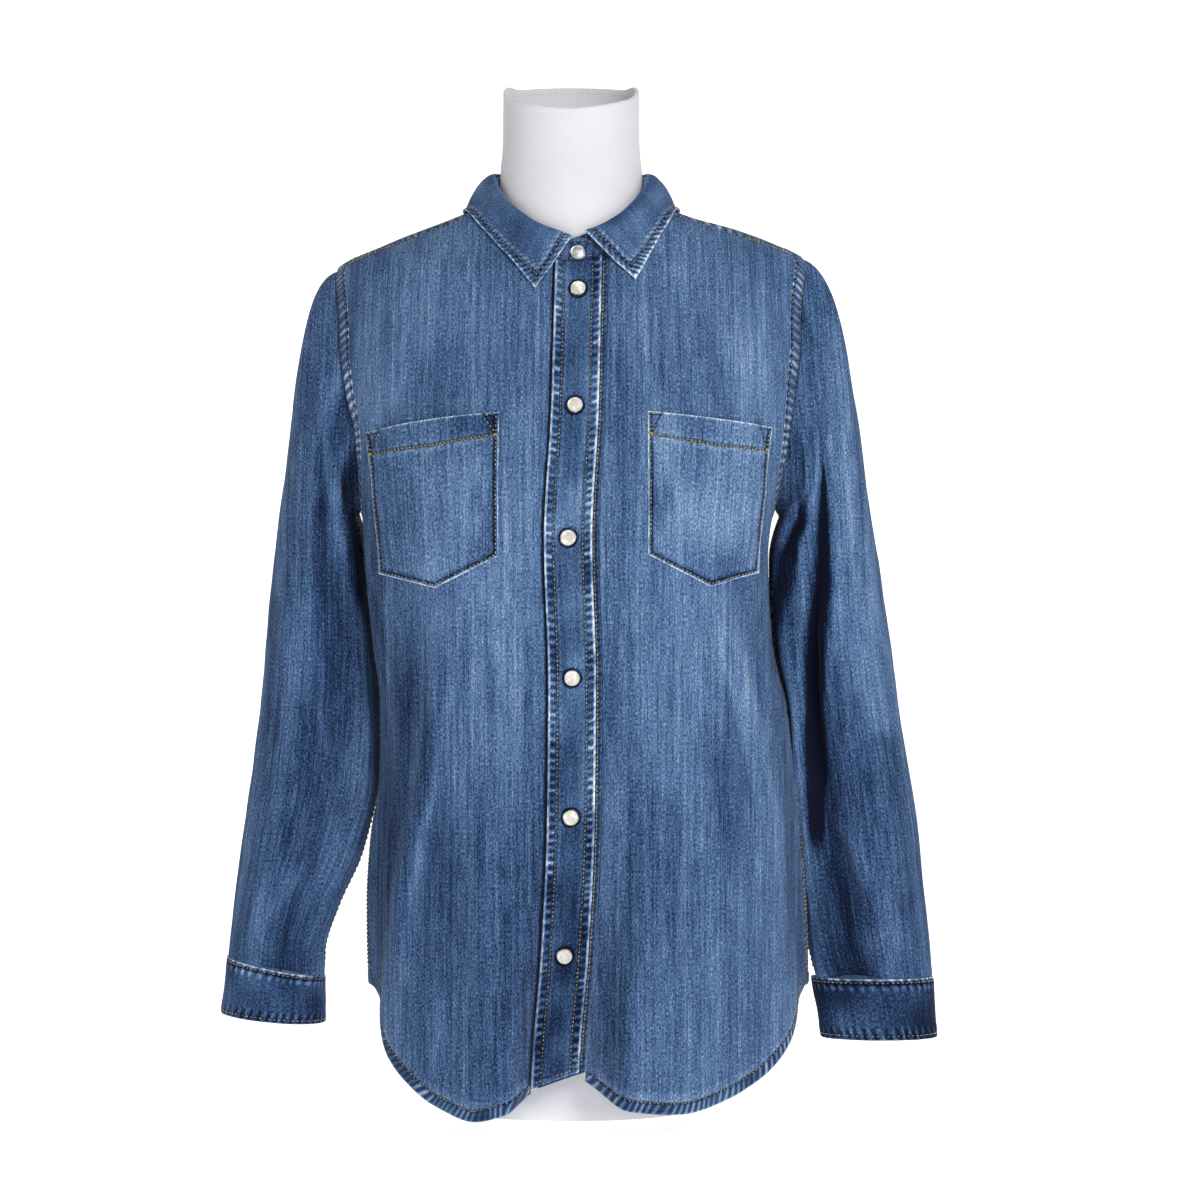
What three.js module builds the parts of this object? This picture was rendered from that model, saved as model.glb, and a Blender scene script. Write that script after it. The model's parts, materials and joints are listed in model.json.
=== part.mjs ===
// A women's denim shirt on the limbless dress form that wears it.
// Millimetres. +Z is up, the front faces -Y, and +X is on the right when the shirt is seen from its front.
// The origin is the middle of the form's flat underside. Heights in the tables start below it.
import * as THREE from "three";

// Cloth
const clothWall = 1.4; // one panel of denim with its turned edges
const bandWall = 1.6; // placket, cuffs, collar and stand, which are two layers
const pocketWall = 1.0;
const seamGap = 0.3;
const underside = 12; // height of the form's underside in the tables

// Front closure
const placketWidth = 36;
const underbandLag = 5; // the lower band lies this much further to the right
const placketRise = 0.7; // the outer band stands this far off the panels
const underbandSink = bandWall + seamGap * 2.2 - placketRise;
const snapRadius = 6.4;
const snapHeight = 2.4;

// Armholes, in the body's own turn and height: an ellipse round each sleeve
const armholeReach = THREE.MathUtils.degToRad(25);
const leftArmhole = { middle: 588, halfHeight: 96 };
const rightArmhole = { middle: 593, halfHeight: 101 };

// Neckline, an oval seen from above
const neckHalfWidth = 62;
const neckFront = 64;
const neckBack = 62;

// Cuffs: the top and foot rings, with half widths and depths, and how far each ring's outer side is
// tilted up in degrees
const leftCuff = {
  top: { x: 236, z: 128, half: 40, halfDepth: 29, tilt: 11.6 },
  foot: { x: 238, z: 87, half: 42, halfDepth: 31, tilt: 5.5 },
};
const rightCuff = {
  top: { x: 242.5, z: 117, half: 49, halfDepth: 20, tilt: 0 },
  foot: { x: 247.5, z: 68.5, half: 47, halfDepth: 22, tilt: 0 },
};
const cuffOverlap = 0.09; // share of a full turn
const cuffLift = 2.2; // how far the outer end of the cuff stands over the inner end
const cuffSnapAt = 0.955; // along the band, near its outer end

// Horizontal sections of the worn body, one row for each height. left, right, front and back are
// reaches from the centre line, and fullness squares the corners of the section.
const bodySections = [
  { z: 0, left: 155, right: 180, front: 122, back: 123, fullness: 0.05 },
  { z: 116, left: 160, right: 188, front: 122, back: 119, fullness: 0.05 },
  { z: 180, left: 160, right: 185, front: 123, back: 116, fullness: 0.05 },
  { z: 230, left: 157, right: 181, front: 124, back: 113, fullness: 0.06 },
  { z: 284, left: 150, right: 176, front: 125, back: 110, fullness: 0.07 },
  { z: 336, left: 151, right: 171, front: 126, back: 108, fullness: 0.08 },
  { z: 391, left: 158, right: 160, front: 127, back: 107, fullness: 0.09 },
  { z: 453, left: 164, right: 157, front: 127, back: 107, fullness: 0.1 },
  { z: 500, left: 167, right: 163, front: 124, back: 108, fullness: 0.1 },
  { z: 550, left: 175, right: 177, front: 115, back: 109, fullness: 0.09 },
  { z: 585, left: 186, right: 185, front: 105, back: 107, fullness: 0.08 },
  { z: 620, left: 191, right: 190, front: 92, back: 102, fullness: 0.07 },
  { z: 655, left: 191, right: 190, front: 77, back: 94, fullness: 0.05 },
  { z: 676, left: 189, right: 190, front: 68, back: 87, fullness: 0.04 },
  { z: 684, left: 186, right: 190, front: 63, back: 83, fullness: 0.03 },
  { z: 692, left: 174, right: 185, front: 57, back: 80, fullness: 0.03 },
  { z: 700, left: 156, right: 171, front: 53, back: 76, fullness: 0.02 },
  { z: 708, left: 138, right: 153, front: 49, back: 73, fullness: 0 },
  { z: 716, left: 117, right: 130, front: 46, back: 71, fullness: 0 },
  { z: 724, left: 96, right: 100, front: 43, back: 69, fullness: 0 },
  { z: 738, left: 65, right: 66, front: 39, back: 65, fullness: 0 },
  { z: 748, left: 54, right: 54, front: 35, back: 57, fullness: 0 },
];

// The hem, by turn from the centre front (0 degrees) round to the centre back (180 degrees)
const hemLine = [
  { turn: 0, left: 52, right: 56 },
  { turn: 7, left: 45, right: 44 },
  { turn: 14, left: 36, right: 36 },
  { turn: 26, left: 27, right: 33 },
  { turn: 38, left: 36, right: 41 },
  { turn: 48, left: 54, right: 55 },
  { turn: 58, left: 76, right: 77 },
  { turn: 66, left: 93, right: 93 },
  { turn: 76, left: 104, right: 105 },
  { turn: 90, left: 113, right: 113 },
  { turn: 104, left: 104, right: 104 },
  { turn: 116, left: 84, right: 84 },
  { turn: 130, left: 54, right: 54 },
  { turn: 145, left: 29, right: 29 },
  { turn: 162, left: 17, right: 17 },
  { turn: 180, left: 15, right: 15 },
];

// The closure hangs in a valley between the two fronts. middle is the placket's centre line, recess how
// far it lies back, and leftRun and rightRun how far the valley's sides run into each front.
const closureLine = [
  { z: 30, middle: -13, recess: 50, leftRun: 17, rightRun: 34 },
  { z: 90, middle: -9, recess: 36, leftRun: 17, rightRun: 34 },
  { z: 149, middle: -4, recess: 24, leftRun: 17, rightRun: 34 },
  { z: 255, middle: 1, recess: 12, leftRun: 16, rightRun: 34 },
  { z: 360, middle: 2, recess: 6, leftRun: 15, rightRun: 30 },
  { z: 465, middle: -1, recess: 2, leftRun: 14, rightRun: 26 },
  { z: 565, middle: 4, recess: 0, leftRun: 14, rightRun: 24 },
  { z: 657, middle: 6, recess: 0, leftRun: 14, rightRun: 24 },
  { z: 700, middle: 7, recess: 0, leftRun: 14, rightRun: 24 },
];

// Hanging folds of the body. Each runs from a turn at its top to a turn at its foot, and depth is how far
// it stands out (or in, when negative) at the foot.
const bodyFolds = [
  { side: -1, top: 470, foot: 40, topTurn: 40, footTurn: 54, width: 13, depth: 7 },
  { side: -1, top: 420, foot: 60, topTurn: 57, footTurn: 76, width: 12, depth: -8 },
  { side: -1, top: 330, foot: 10, topTurn: 17, footTurn: 20, width: 11, depth: 7 },
  { side: 1, top: 450, foot: 30, topTurn: 46, footTurn: 56, width: 13, depth: 6 },
  { side: 1, top: 400, foot: 60, topTurn: 62, footTurn: 76, width: 11, depth: -6 },
  { side: 1, top: 330, foot: 10, topTurn: 17, footTurn: 24, width: 12, depth: 7 },
  { side: -1, top: 480, foot: 0, topTurn: 146, footTurn: 140, width: 14, depth: 9 },
  { side: -1, top: 420, foot: 0, topTurn: 122, footTurn: 118, width: 12, depth: -8 },
  { side: 1, top: 470, foot: 0, topTurn: 150, footTurn: 152, width: 14, depth: 9 },
  { side: 1, top: 430, foot: 0, topTurn: 126, footTurn: 122, width: 13, depth: -8 },
];

// Level sections of each sleeve below the armhole. outer and inner are distances from the body's centre
// line, middle and depth place the section front to back, and tilt lifts its outer side, in degrees.
const leftSleeveSections = [
  { z: 452, outer: 238, inner: 152, middle: 9, depth: 108, tilt: 0 },
  { z: 400, outer: 244, inner: 148, middle: 13, depth: 104, tilt: 1 },
  { z: 340, outer: 250, inner: 147, middle: 17, depth: 98, tilt: 3 },
  { z: 280, outer: 257, inner: 150, middle: 17, depth: 88, tilt: 5 },
  { z: 228, outer: 264, inner: 165, middle: 13, depth: 76, tilt: 8 },
  { z: 180, outer: 270, inner: 187, middle: 7, depth: 66, tilt: 10 },
  { z: 146, outer: 273.5, inner: 197, middle: 3, depth: 60, tilt: 11 },
  { z: 129, outer: 274.5, inner: 197.5, middle: 0, depth: 56, tilt: 11.6 },
];
const rightSleeveSections = [
  { z: 452, outer: 247, inner: 152, middle: 10, depth: 108, tilt: 0 },
  { z: 400, outer: 254, inner: 150, middle: 15, depth: 102, tilt: 0 },
  { z: 340, outer: 263, inner: 154, middle: 20, depth: 94, tilt: 0 },
  { z: 280, outer: 273, inner: 162, middle: 23, depth: 84, tilt: 0 },
  { z: 228, outer: 281, inner: 168, middle: 25, depth: 70, tilt: 0 },
  { z: 180, outer: 286, inner: 177, middle: 24, depth: 56, tilt: 0 },
  { z: 142, outer: 289, inner: 185, middle: 20, depth: 44, tilt: 0 },
  { z: 118, outer: 290, inner: 195, middle: 15, depth: 37, tilt: 0 },
];

// Folds of the sleeves. round is the turn about the sleeve, 0 on its outer side, 90 in front and 180
// towards the body; depth is negative for a trough.
const leftSleeveFolds = [
  { top: 560, foot: 150, topRound: 96, footRound: 106, width: 24, depth: -7 },
  { top: 520, foot: 200, topRound: 138, footRound: 146, width: 20, depth: 5 },
  { top: 500, foot: 180, topRound: 262, footRound: 250, width: 26, depth: -7 },
  { top: 420, foot: 130, topRound: 60, footRound: 64, width: 18, depth: 3 },
];
const rightSleeveFolds = [
  { top: 545, foot: 225, topRound: 118, footRound: 112, width: 19, depth: -17 },
  { top: 560, foot: 330, topRound: 146, footRound: 148, width: 16, depth: 7 },
  { top: 500, foot: 180, topRound: 262, footRound: 250, width: 26, depth: -7 },
  { top: 330, foot: 130, topRound: 64, footRound: 60, width: 18, depth: 3 },
];

// Patch pockets: distances from the centre line, and heights of the corners and the point
const pockets = [
  {
    name: "pocket_left",
    side: -1,
    near: 53,
    farTop: 157,
    farFoot: 145,
    nearTop: 562,
    outTop: 549,
    nearFoot: 453,
    outFoot: 440,
    point: 429,
    pointAt: 0.52,
  },
  {
    name: "pocket_right",
    side: 1,
    near: 59,
    farTop: 155,
    farFoot: 144,
    nearTop: 563,
    outTop: 553,
    nearFoot: 454,
    outFoot: 441,
    point: 430,
    pointAt: 0.56,
  },
];

// Heights of the snaps on the placket, from the neck down
const snapHeights = [657, 565, 465, 360, 255, 149];

// The collar by turn round the neck: top is the height of its fold, roll how far the fold stands out,
// and the edge columns place the leaf's free edge, which then lies against the body.
const collarSections = [
  { turn: 0, top: 703, roll: 5, edgeX: 36, edgeY: -74, edgeZ: 659 },
  { turn: 20, top: 711, roll: 6, edgeX: 47, edgeY: -66, edgeZ: 674 },
  { turn: 50, top: 731, roll: 8, edgeX: 64, edgeY: -45, edgeZ: 698 },
  { turn: 70, top: 747, roll: 10, edgeX: 77, edgeY: -20, edgeZ: 716 },
  { turn: 90, top: 761, roll: 11, edgeX: 86, edgeY: 4, edgeZ: 728 },
  { turn: 112, top: 764, roll: 10, edgeX: 80, edgeY: 34, edgeZ: 729 },
  { turn: 135, top: 766, roll: 9, edgeX: 61, edgeY: 54, edgeZ: 729 },
  { turn: 157, top: 768, roll: 8, edgeX: 33, edgeY: 68, edgeZ: 728 },
  { turn: 180, top: 768, roll: 8, edgeX: 0, edgeY: 72, edgeZ: 728 },
];
const leafGap = 1.6; // between the leaf and the body under it
const leafShift = 9; // the closure lies to the right of the neck's middle

// The dress form: half its width, and its reach to the front and back
const formSections = [
  { z: 12, half: 92, front: 44, back: 66 },
  { z: 22, half: 99, front: 49, back: 72 },
  { z: 55, half: 114, front: 53, back: 80 },
  { z: 100, half: 132, front: 63, back: 90 },
  { z: 150, half: 141, front: 80, back: 96 },
  { z: 200, half: 140, front: 88, back: 96 },
  { z: 260, half: 132, front: 86, back: 90 },
  { z: 320, half: 118, front: 84, back: 84 },
  { z: 380, half: 122, front: 94, back: 86 },
  { z: 440, half: 138, front: 116, back: 94 },
  { z: 475, half: 146, front: 121, back: 99 },
  { z: 515, half: 149, front: 117, back: 102 },
  { z: 550, half: 150, front: 108, back: 102 },
  { z: 600, half: 157, front: 92, back: 99 },
  { z: 640, half: 165, front: 77, back: 93 },
  { z: 662, half: 168, front: 68, back: 86 },
  { z: 676, half: 167, front: 62, back: 80 },
];
const formShoulderDrop = 3.6; // the form's shoulders lie this far under the cloth's outer face
const formNeck = [
  { z: 676, half: 58.5, front: 55, back: 58.5 },
  { z: 738, half: 57.5, front: 54, back: 57.5 },
  { z: 763, half: 56.5, front: 53, back: 55 },
  { z: 780, half: 55, front: 52, back: 54 },
  { z: 800, half: 54.5, front: 52, back: 53 },
];
const formTopFront = 804;
const formTopBack = 840;
const neckRecess = 24;
const neckRim = 3.5;

const colours = {
  denim: 0x4a6c9b,
  seam: 0x35527d,
  snap: 0xdad8d0,
  form: 0xe6e4ea,
};

const { degToRad, clamp, lerp } = THREE.MathUtils;
const quarter = Math.PI / 2;

// A smooth curve through one column of a table
function column(rows, key, name) {
  const xs = rows.map((row) => row[key]);
  const ys = rows.map((row) => row[name]);
  const steps = ys.slice(1).map((y, i) => (y - ys[i]) / (xs[i + 1] - xs[i]));
  const slopes = ys.map((_, i) => {
    if (i === 0) return steps[0];
    if (i === ys.length - 1) return steps[i - 1];
    const before = steps[i - 1];
    const after = steps[i];
    return before * after <= 0 ? 0 : (2 * before * after) / (before + after);
  });
  return (at) => {
    const x = clamp(at, Math.min(xs[0], xs.at(-1)), Math.max(xs[0], xs.at(-1)));
    let i = 0;
    while (i < xs.length - 2 && (x - xs[i + 1]) * Math.sign(xs[1] - xs[0]) > 0) i++;
    const h = xs[i + 1] - xs[i];
    const t = (x - xs[i]) / h;
    const t2 = t * t;
    const t3 = t2 * t;
    return (
      (2 * t3 - 3 * t2 + 1) * ys[i] +
      (t3 - 2 * t2 + t) * h * slopes[i] +
      (3 * t2 - 2 * t3) * ys[i + 1] +
      (t3 - t2) * h * slopes[i + 1]
    );
  };
}

function columns(rows, key) {
  const made = {};
  for (const name of Object.keys(rows[0])) {
    if (name !== key) made[name] = column(rows, key, name);
  }
  return made;
}

const body = columns(bodySections, "z");
const hem = columns(hemLine, "turn");
const closure = columns(closureLine, "z");
const collar = columns(collarSections, "turn");

// A soft hump, 1 in the middle and 0 at a distance of 1
function hump(distance) {
  const d = Math.abs(distance);
  return d >= 1 ? 0 : (1 + Math.cos(Math.PI * d)) / 2;
}

function ease(x) {
  const t = clamp(x, 0, 1);
  return t * t * (3 - 2 * t);
}

const reachOf = (side, z) => (side < 0 ? body.left(z) : body.right(z));
const armholeOf = (side) => (side < 0 ? leftArmhole : rightArmhole);

// How far the folds stand out at a turn and height
function foldHeight(folds, turnKey, degrees, z) {
  let sum = 0;
  for (const fold of folds) {
    const along = (fold.top - z) / (fold.top - fold.foot);
    if (along <= 0) continue;
    const centre = lerp(fold["top" + turnKey], fold["foot" + turnKey], Math.min(along, 1));
    sum += fold.depth * ease(along * 1.4) * hump((degrees - centre) / (2 * fold.width));
  }
  return sum;
}

// A point on the outer face of the body: side is -1 on the left, and turn runs from 0 at the centre
// front to a half turn at the centre back.
function bodyPoint(side, turn, z, offset = 0) {
  const reach = reachOf(side, z);
  const depth = turn < quarter ? body.front(z) : body.back(z);
  const full = 1 + body.fullness(z) * Math.sin(2 * turn) ** 2;
  const normal = new THREE.Vector3(side * depth * Math.sin(turn), -reach * Math.cos(turn), 0).normalize();
  const own = bodyFolds.filter((fold) => fold.side === side);
  const degrees = (turn * 180) / Math.PI;
  const point = new THREE.Vector3(
    side * reach * Math.sin(turn) * full,
    -depth * Math.cos(turn) * full,
    z,
  ).addScaledVector(normal, offset + foldHeight(own, "Turn", degrees, z));
  if (turn < quarter) point.y += recessAt(point.x, z);
  return point;
}

function recessAt(x, z) {
  const across = x - closure.middle(z);
  const past = Math.abs(across) - placketWidth / 2 - (across < 0 ? 0 : underbandLag);
  const run = across < 0 ? closure.leftRun(z) : closure.rightRun(z);
  return closure.recess(z) * (past <= 0 ? 1 : 1 - ease(past / run));
}

// The turn at which the front reaches a distance from the centre line
function turnAt(side, distance, z) {
  let low = -0.3;
  let high = quarter;
  for (let i = 0; i < 40; i++) {
    const turn = (low + high) / 2;
    if (side * bodyPoint(side, turn, z).x < distance) low = turn;
    else high = turn;
  }
  return (low + high) / 2;
}

// How far the armhole cuts into the body at a height, as a turn away from the side
function armholeCut(side, z) {
  const { middle, halfHeight } = armholeOf(side);
  const u = (z - middle) / halfHeight;
  return Math.abs(u) >= 1 ? 0 : armholeReach * Math.sqrt(1 - u * u);
}

// The height at which the body passes through a point of the neckline, seen from above
function neckHeight(side, x, y) {
  let low = 640;
  let high = 748;
  for (let i = 0; i < 40; i++) {
    const z = (low + high) / 2;
    const depth = y < 0 ? body.front(z) : body.back(z);
    const turn = Math.atan2(Math.abs(x) / reachOf(side, z), -y / depth);
    const full = 1 + body.fullness(z) * Math.sin(2 * turn) ** 2;
    if (Math.hypot(x / reachOf(side, z), y / depth) / full < 1) low = z;
    else high = z;
  }
  return (low + high) / 2;
}

// A point of the neckline by angle round the neck, with the turn and height of the body there
function neckline(side, angle) {
  const x = neckHalfWidth * Math.sin(angle);
  const y = -(angle < quarter ? neckFront : neckBack) * Math.cos(angle);
  const z = neckHeight(side, x, y);
  const depth = y < 0 ? body.front(z) : body.back(z);
  return { x: side * x, y, z, turn: Math.atan2(x / reachOf(side, z), -y / depth) };
}

// A closed wall of cloth from a grid of points on its outer face. outward is 1 where the grid's columns,
// then its rows, turn anticlockwise as seen from outside. A loop joins its last column to its first.
function clothWallOf(columnCount, rowCount, pointAt, thickness, outward, loop = false) {
  const wide = loop ? columnCount : columnCount + 1;
  const grid = [];
  for (let j = 0; j <= rowCount; j++) {
    const row = [];
    for (let i = 0; i < wide; i++) row.push(pointAt(i / columnCount, j / rowCount));
    grid.push(row);
  }
  const columnOf = (i) => (loop ? (i + columnCount) % columnCount : clamp(i, 0, columnCount));
  const at = (i, j) => grid[clamp(j, 0, rowCount)][columnOf(i)];
  const outer = [];
  const inner = [];
  for (let j = 0; j <= rowCount; j++) {
    for (let i = 0; i < wide; i++) {
      const across = at(i + 1, j).clone().sub(at(i - 1, j));
      const along = at(i, j + 1).clone().sub(at(i, j - 1));
      const normal = across.cross(along).normalize().multiplyScalar(outward);
      outer.push(at(i, j));
      inner.push(at(i, j).clone().addScaledVector(normal, -thickness));
    }
  }
  const points = [...outer, ...inner];
  const back = outer.length;
  const index = (i, j) => j * wide + (loop ? i % columnCount : i);
  const triangles = [];
  const quad = (a, b, c, d) => {
    if (outward > 0) triangles.push(a, b, c, a, c, d);
    else triangles.push(a, c, b, a, d, c);
  };
  for (let j = 0; j < rowCount; j++) {
    for (let i = 0; i < columnCount; i++) {
      const [a, b, c, d] = [index(i, j), index(i + 1, j), index(i + 1, j + 1), index(i, j + 1)];
      quad(a, b, c, d);
      quad(a + back, d + back, c + back, b + back);
    }
  }
  for (let i = 0; i < columnCount; i++) {
    const [a, b] = [index(i, 0), index(i + 1, 0)];
    quad(a, a + back, b + back, b);
    const [c, d] = [index(i, rowCount), index(i + 1, rowCount)];
    quad(c, d, d + back, c + back);
  }
  if (!loop) {
    for (let j = 0; j < rowCount; j++) {
      const [a, b] = [index(0, j), index(0, j + 1)];
      quad(a, b, b + back, a + back);
      const [c, d] = [index(columnCount, j), index(columnCount, j + 1)];
      quad(c, c + back, d + back, d);
    }
  }
  const positions = new Float32Array(points.length * 3);
  points.forEach((point, i) => point.toArray(positions, i * 3));
  return new THREE.BufferGeometry()
    .setAttribute("position", new THREE.BufferAttribute(positions, 3))
    .setIndex(triangles);
}

function finish(colour, roughness, metalness = 0) {
  return new THREE.MeshStandardMaterial({ color: colour, roughness, metalness });
}
const denim = () => finish(colours.denim, 0.92);
const seamDenim = () => finish(colours.seam, 0.92);

const shirt = new THREE.Group();
function addPiece(group, name, geometry, material) {
  const mesh = new THREE.Mesh(geometry, material);
  mesh.name = name;
  group.add(mesh);
  return mesh;
}

// Rows crowd towards the neck, where a panel turns over the shoulder
const climb = (t) => 1 - (1 - t) ** 1.25;

// A panel's grid point. near and far are the turns of its two upright edges at a height, hemAt gives its
// lower edge and neckAt its upper edge.
function panelPoint(side, s, t, near, far, hemHeight, neck) {
  const z = lerp(hemHeight, neck.z, climb(t));
  const nearTop = near(neck.z);
  const top = (neck.turn - nearTop) / (far(neck.z) - nearTop);
  const share = lerp(s, clamp(top, 0, 1), ease((z - 600) / (neck.z - 600)));
  return bodyPoint(side, lerp(near(z), far(z), share), z);
}

const halfSeam = seamGap / 110; // the side seam's share of each panel, as a turn

function frontPanel(side) {
  const clear = side < 0 ? placketWidth / 2 + seamGap : placketWidth / 2 + underbandLag + seamGap;
  const near = (z) => turnAt(side, side * closure.middle(z) + clear, z);
  const far = (z) => quarter - armholeCut(side, z) - halfSeam;
  const nearCache = new Map();
  const nearAt = (z) => {
    if (!nearCache.has(z)) nearCache.set(z, near(z));
    return nearCache.get(z);
  };
  const firstAngle = Math.asin((side * closure.middle(682) + clear) / neckHalfWidth);
  return clothWallOf(
    14,
    26,
    (s, t) => {
      const spread = s ** 1.25;
      const hemTurn = lerp(near(45), quarter, spread);
      const hemHeight = (side < 0 ? hem.left : hem.right)((hemTurn * 180) / Math.PI);
      const neck = neckline(side, lerp(firstAngle, quarter, spread));
      return panelPoint(side, spread, t, nearAt, far, hemHeight, neck);
    },
    clothWall,
    side,
  );
}

function backPanel() {
  const near = () => Math.PI;
  return clothWallOf(
    24,
    24,
    (s, t) => {
      const side = s < 0.5 ? -1 : 1;
      const share = Math.abs(2 * s - 1);
      const hemTurn = lerp(Math.PI, quarter, share);
      const hemHeight = hem.left((hemTurn * 180) / Math.PI);
      const neck = neckline(side, lerp(Math.PI, quarter, share));
      const far = (z) => quarter + armholeCut(side, z) + halfSeam;
      return panelPoint(side, share, t, near, far, hemHeight, neck);
    },
    clothWall,
    -1,
  );
}

// A band down the front between two distances from the closure's middle, from a slanting foot up to
// the neckline
function closureBand(from, to, rise, foot) {
  return clothWallOf(
    4,
    30,
    (s, t) => {
      const across = lerp(from, to, s);
      const atNeck = closure.middle(682) + across;
      const angle = Math.asin(Math.abs(atNeck) / neckHalfWidth);
      const top = neckline(atNeck < 0 ? -1 : 1, angle).z - seamGap * 2;
      const z = lerp(lerp(foot - 6, foot + 7, s), top, t);
      const x = closure.middle(z) + across;
      const side = x < 0 ? -1 : 1;
      return bodyPoint(side, turnAt(side, Math.abs(x), z), z, rise);
    },
    bandWall,
    1,
  );
}

// A patch pocket, made from the panel's own points moved out
function pocketPoint(pocket, u, v, rise) {
  const top = lerp(pocket.nearTop, pocket.outTop, u);
  const foot =
    u < pocket.pointAt
      ? lerp(pocket.nearFoot, pocket.point, u / pocket.pointAt)
      : lerp(pocket.point, pocket.outFoot, (u - pocket.pointAt) / (1 - pocket.pointAt));
  const z = lerp(foot, top, v);
  const far = lerp(pocket.farFoot, pocket.farTop, v);
  const turn = turnAt(pocket.side, lerp(pocket.near, far, u), z);
  return bodyPoint(pocket.side, turn, z, rise);
}

// The armhole's edge by angle: 0 at the shoulder, a quarter turn in front, a half turn underarm
function armholePoint(side, angle) {
  const shrink = seamGap * 4;
  const { middle, halfHeight } = armholeOf(side);
  const z = middle + (halfHeight - shrink) * Math.cos(angle);
  const reach = armholeReach - shrink / 120;
  return bodyPoint(side, quarter - reach * Math.sin(angle), z);
}

// Half the body's width at a depth and height, for the sleeves to lie against
function bodySideAt(side, y, z) {
  const depth = y < 0 ? body.front(z) : body.back(z);
  const turn = Math.acos(clamp(-y / depth, -1, 1));
  const full = 1 + body.fullness(z) * Math.sin(2 * turn) ** 2;
  return reachOf(side, z) * Math.sin(turn) * full;
}

const sleeveClear = 3.2;

// One point of the sleeve's level sections; round is in radians
function sleeveSectionPoint(side, table, folds, round, z) {
  const halfWidth = (table.outer(z) - table.inner(z)) / 2;
  const middle = (table.outer(z) + table.inner(z)) / 2;
  const halfDepth = table.depth(z) / 2;
  const outward = new THREE.Vector2(halfDepth * Math.cos(round), -halfWidth * Math.sin(round)).normalize();
  const fold = foldHeight(folds, "Round", (round * 180) / Math.PI, z);
  const across = halfWidth * Math.cos(round) + outward.x * fold;
  const tilt = degToRad(table.tilt(z));
  const y = table.middle(z) - halfDepth * Math.sin(round) + outward.y * fold;
  const height = z + across * Math.sin(tilt);
  let x = middle + across * Math.cos(tilt);
  const wall = bodySideAt(side, y, height) + sleeveClear;
  const softness = 7;
  const over = (wall - x) / softness;
  if (over > -2) x += softness * (over > 2 ? over : ((over + 2) ** 2) / 8);
  return new THREE.Vector3(side * x, y, height);
}

const sleeveStart = 452;

function sleeve(side, table, folds) {
  const capRows = 8;
  const rows = 21;
  const foot = table.foot;
  return clothWallOf(
    22,
    rows,
    (s, t) => {
      const round = s * 2 * Math.PI;
      const row = t * rows;
      if (row > capRows) {
        const z = lerp(sleeveStart, foot, (row - capRows) / (rows - capRows));
        return sleeveSectionPoint(side, table, folds, round, z);
      }
      const start = armholePoint(side, round);
      const end = sleeveSectionPoint(side, table, folds, round, sleeveStart);
      const up = Math.cos(round);
      const under = Math.max(0, -up);
      const leave = new THREE.Vector3(
        side * (0.5 + 0.46 * up * up),
        -0.12 * Math.sin(round),
        -(0.84 - 0.57 * Math.max(0, up) - 0.45 * under),
      ).normalize();
      const length = start.distanceTo(end);
      const firstHandle = start.clone().addScaledVector(leave, Math.min(32, length * 0.36));
      const below = sleeveSectionPoint(side, table, folds, round, sleeveStart - 8);
      const rise = end.clone().sub(below).normalize();
      const secondHandle = end.clone().addScaledVector(rise, Math.min(150, length * 0.6));
      secondHandle.x -= side * 5 * Math.max(0, up);
      const curve = new THREE.CubicBezierCurve3(start, firstHandle, secondHandle, end);
      return curve.getPoint(row / capRows);
    },
    clothWall,
    side,
    true,
  );
}

// A cuff is one band whose outer end laps over its inner end behind the wrist
function cuffPoint(side, { top, foot }, middleY, s, t) {
  const part = (name) => lerp(top[name], foot[name], t);
  const round = 1.5 * Math.PI + 2 * Math.PI * (1 + cuffOverlap) * s;
  const lift = cuffLift * ease((s * (1 + cuffOverlap) - (1 - cuffOverlap)) / cuffOverlap);
  const across = (part("half") + lift) * Math.cos(round);
  const tilt = degToRad(part("tilt"));
  return new THREE.Vector3(
    side * (part("x") + across * Math.cos(tilt)),
    middleY - (part("halfDepth") + lift) * Math.sin(round),
    part("z") + across * Math.sin(tilt),
  );
}

function cuff(side, rings, middleY) {
  return clothWallOf(36, 2, (s, t) => cuffPoint(side, rings, middleY, s, t), bandWall, side);
}

// The stand's foot follows the neckline, and its top is a smaller oval
const standTop = { half: 60, front: 59, back: 61 };
const standDrop = bandWall + seamGap * 2.6; // the leaf's fold lies on top of the stand

function standPoint(side, angle, height) {
  const foot = neckline(side, angle);
  const sine = Math.sin(angle);
  const cosine = Math.cos(angle);
  const depth = angle < quarter ? standTop.front : standTop.back;
  const topHeight = collar.top((angle * 180) / Math.PI) - standDrop;
  const top = new THREE.Vector3(side * standTop.half * sine, -depth * cosine, topHeight);
  return new THREE.Vector3(foot.x, foot.y, foot.z + seamGap * 1.5).lerp(top, height);
}

function angleAtFront(side, x) {
  return Math.asin(clamp((side * x) / neckHalfWidth, -1, 1));
}

// A band or leaf that runs round the neck from its left end in front, behind the neck, to its right end
function roundNeck(s, leftStart, rightEnd) {
  const total = Math.PI - leftStart + (Math.PI - rightEnd);
  const travelled = s * total;
  return travelled < Math.PI - leftStart
    ? { side: -1, angle: leftStart + travelled }
    : { side: 1, angle: Math.PI - (travelled - (Math.PI - leftStart)) };
}

// The stand is one band whose left end laps over its right end in front, and carries the neck snap
const standLap = bandWall + seamGap * 1.5;
const standMiddle = closure.middle(682);
const standLeft = angleAtFront(-1, standMiddle + placketWidth / 2);
const standRight = angleAtFront(1, standMiddle - placketWidth / 2 + 6);

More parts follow.
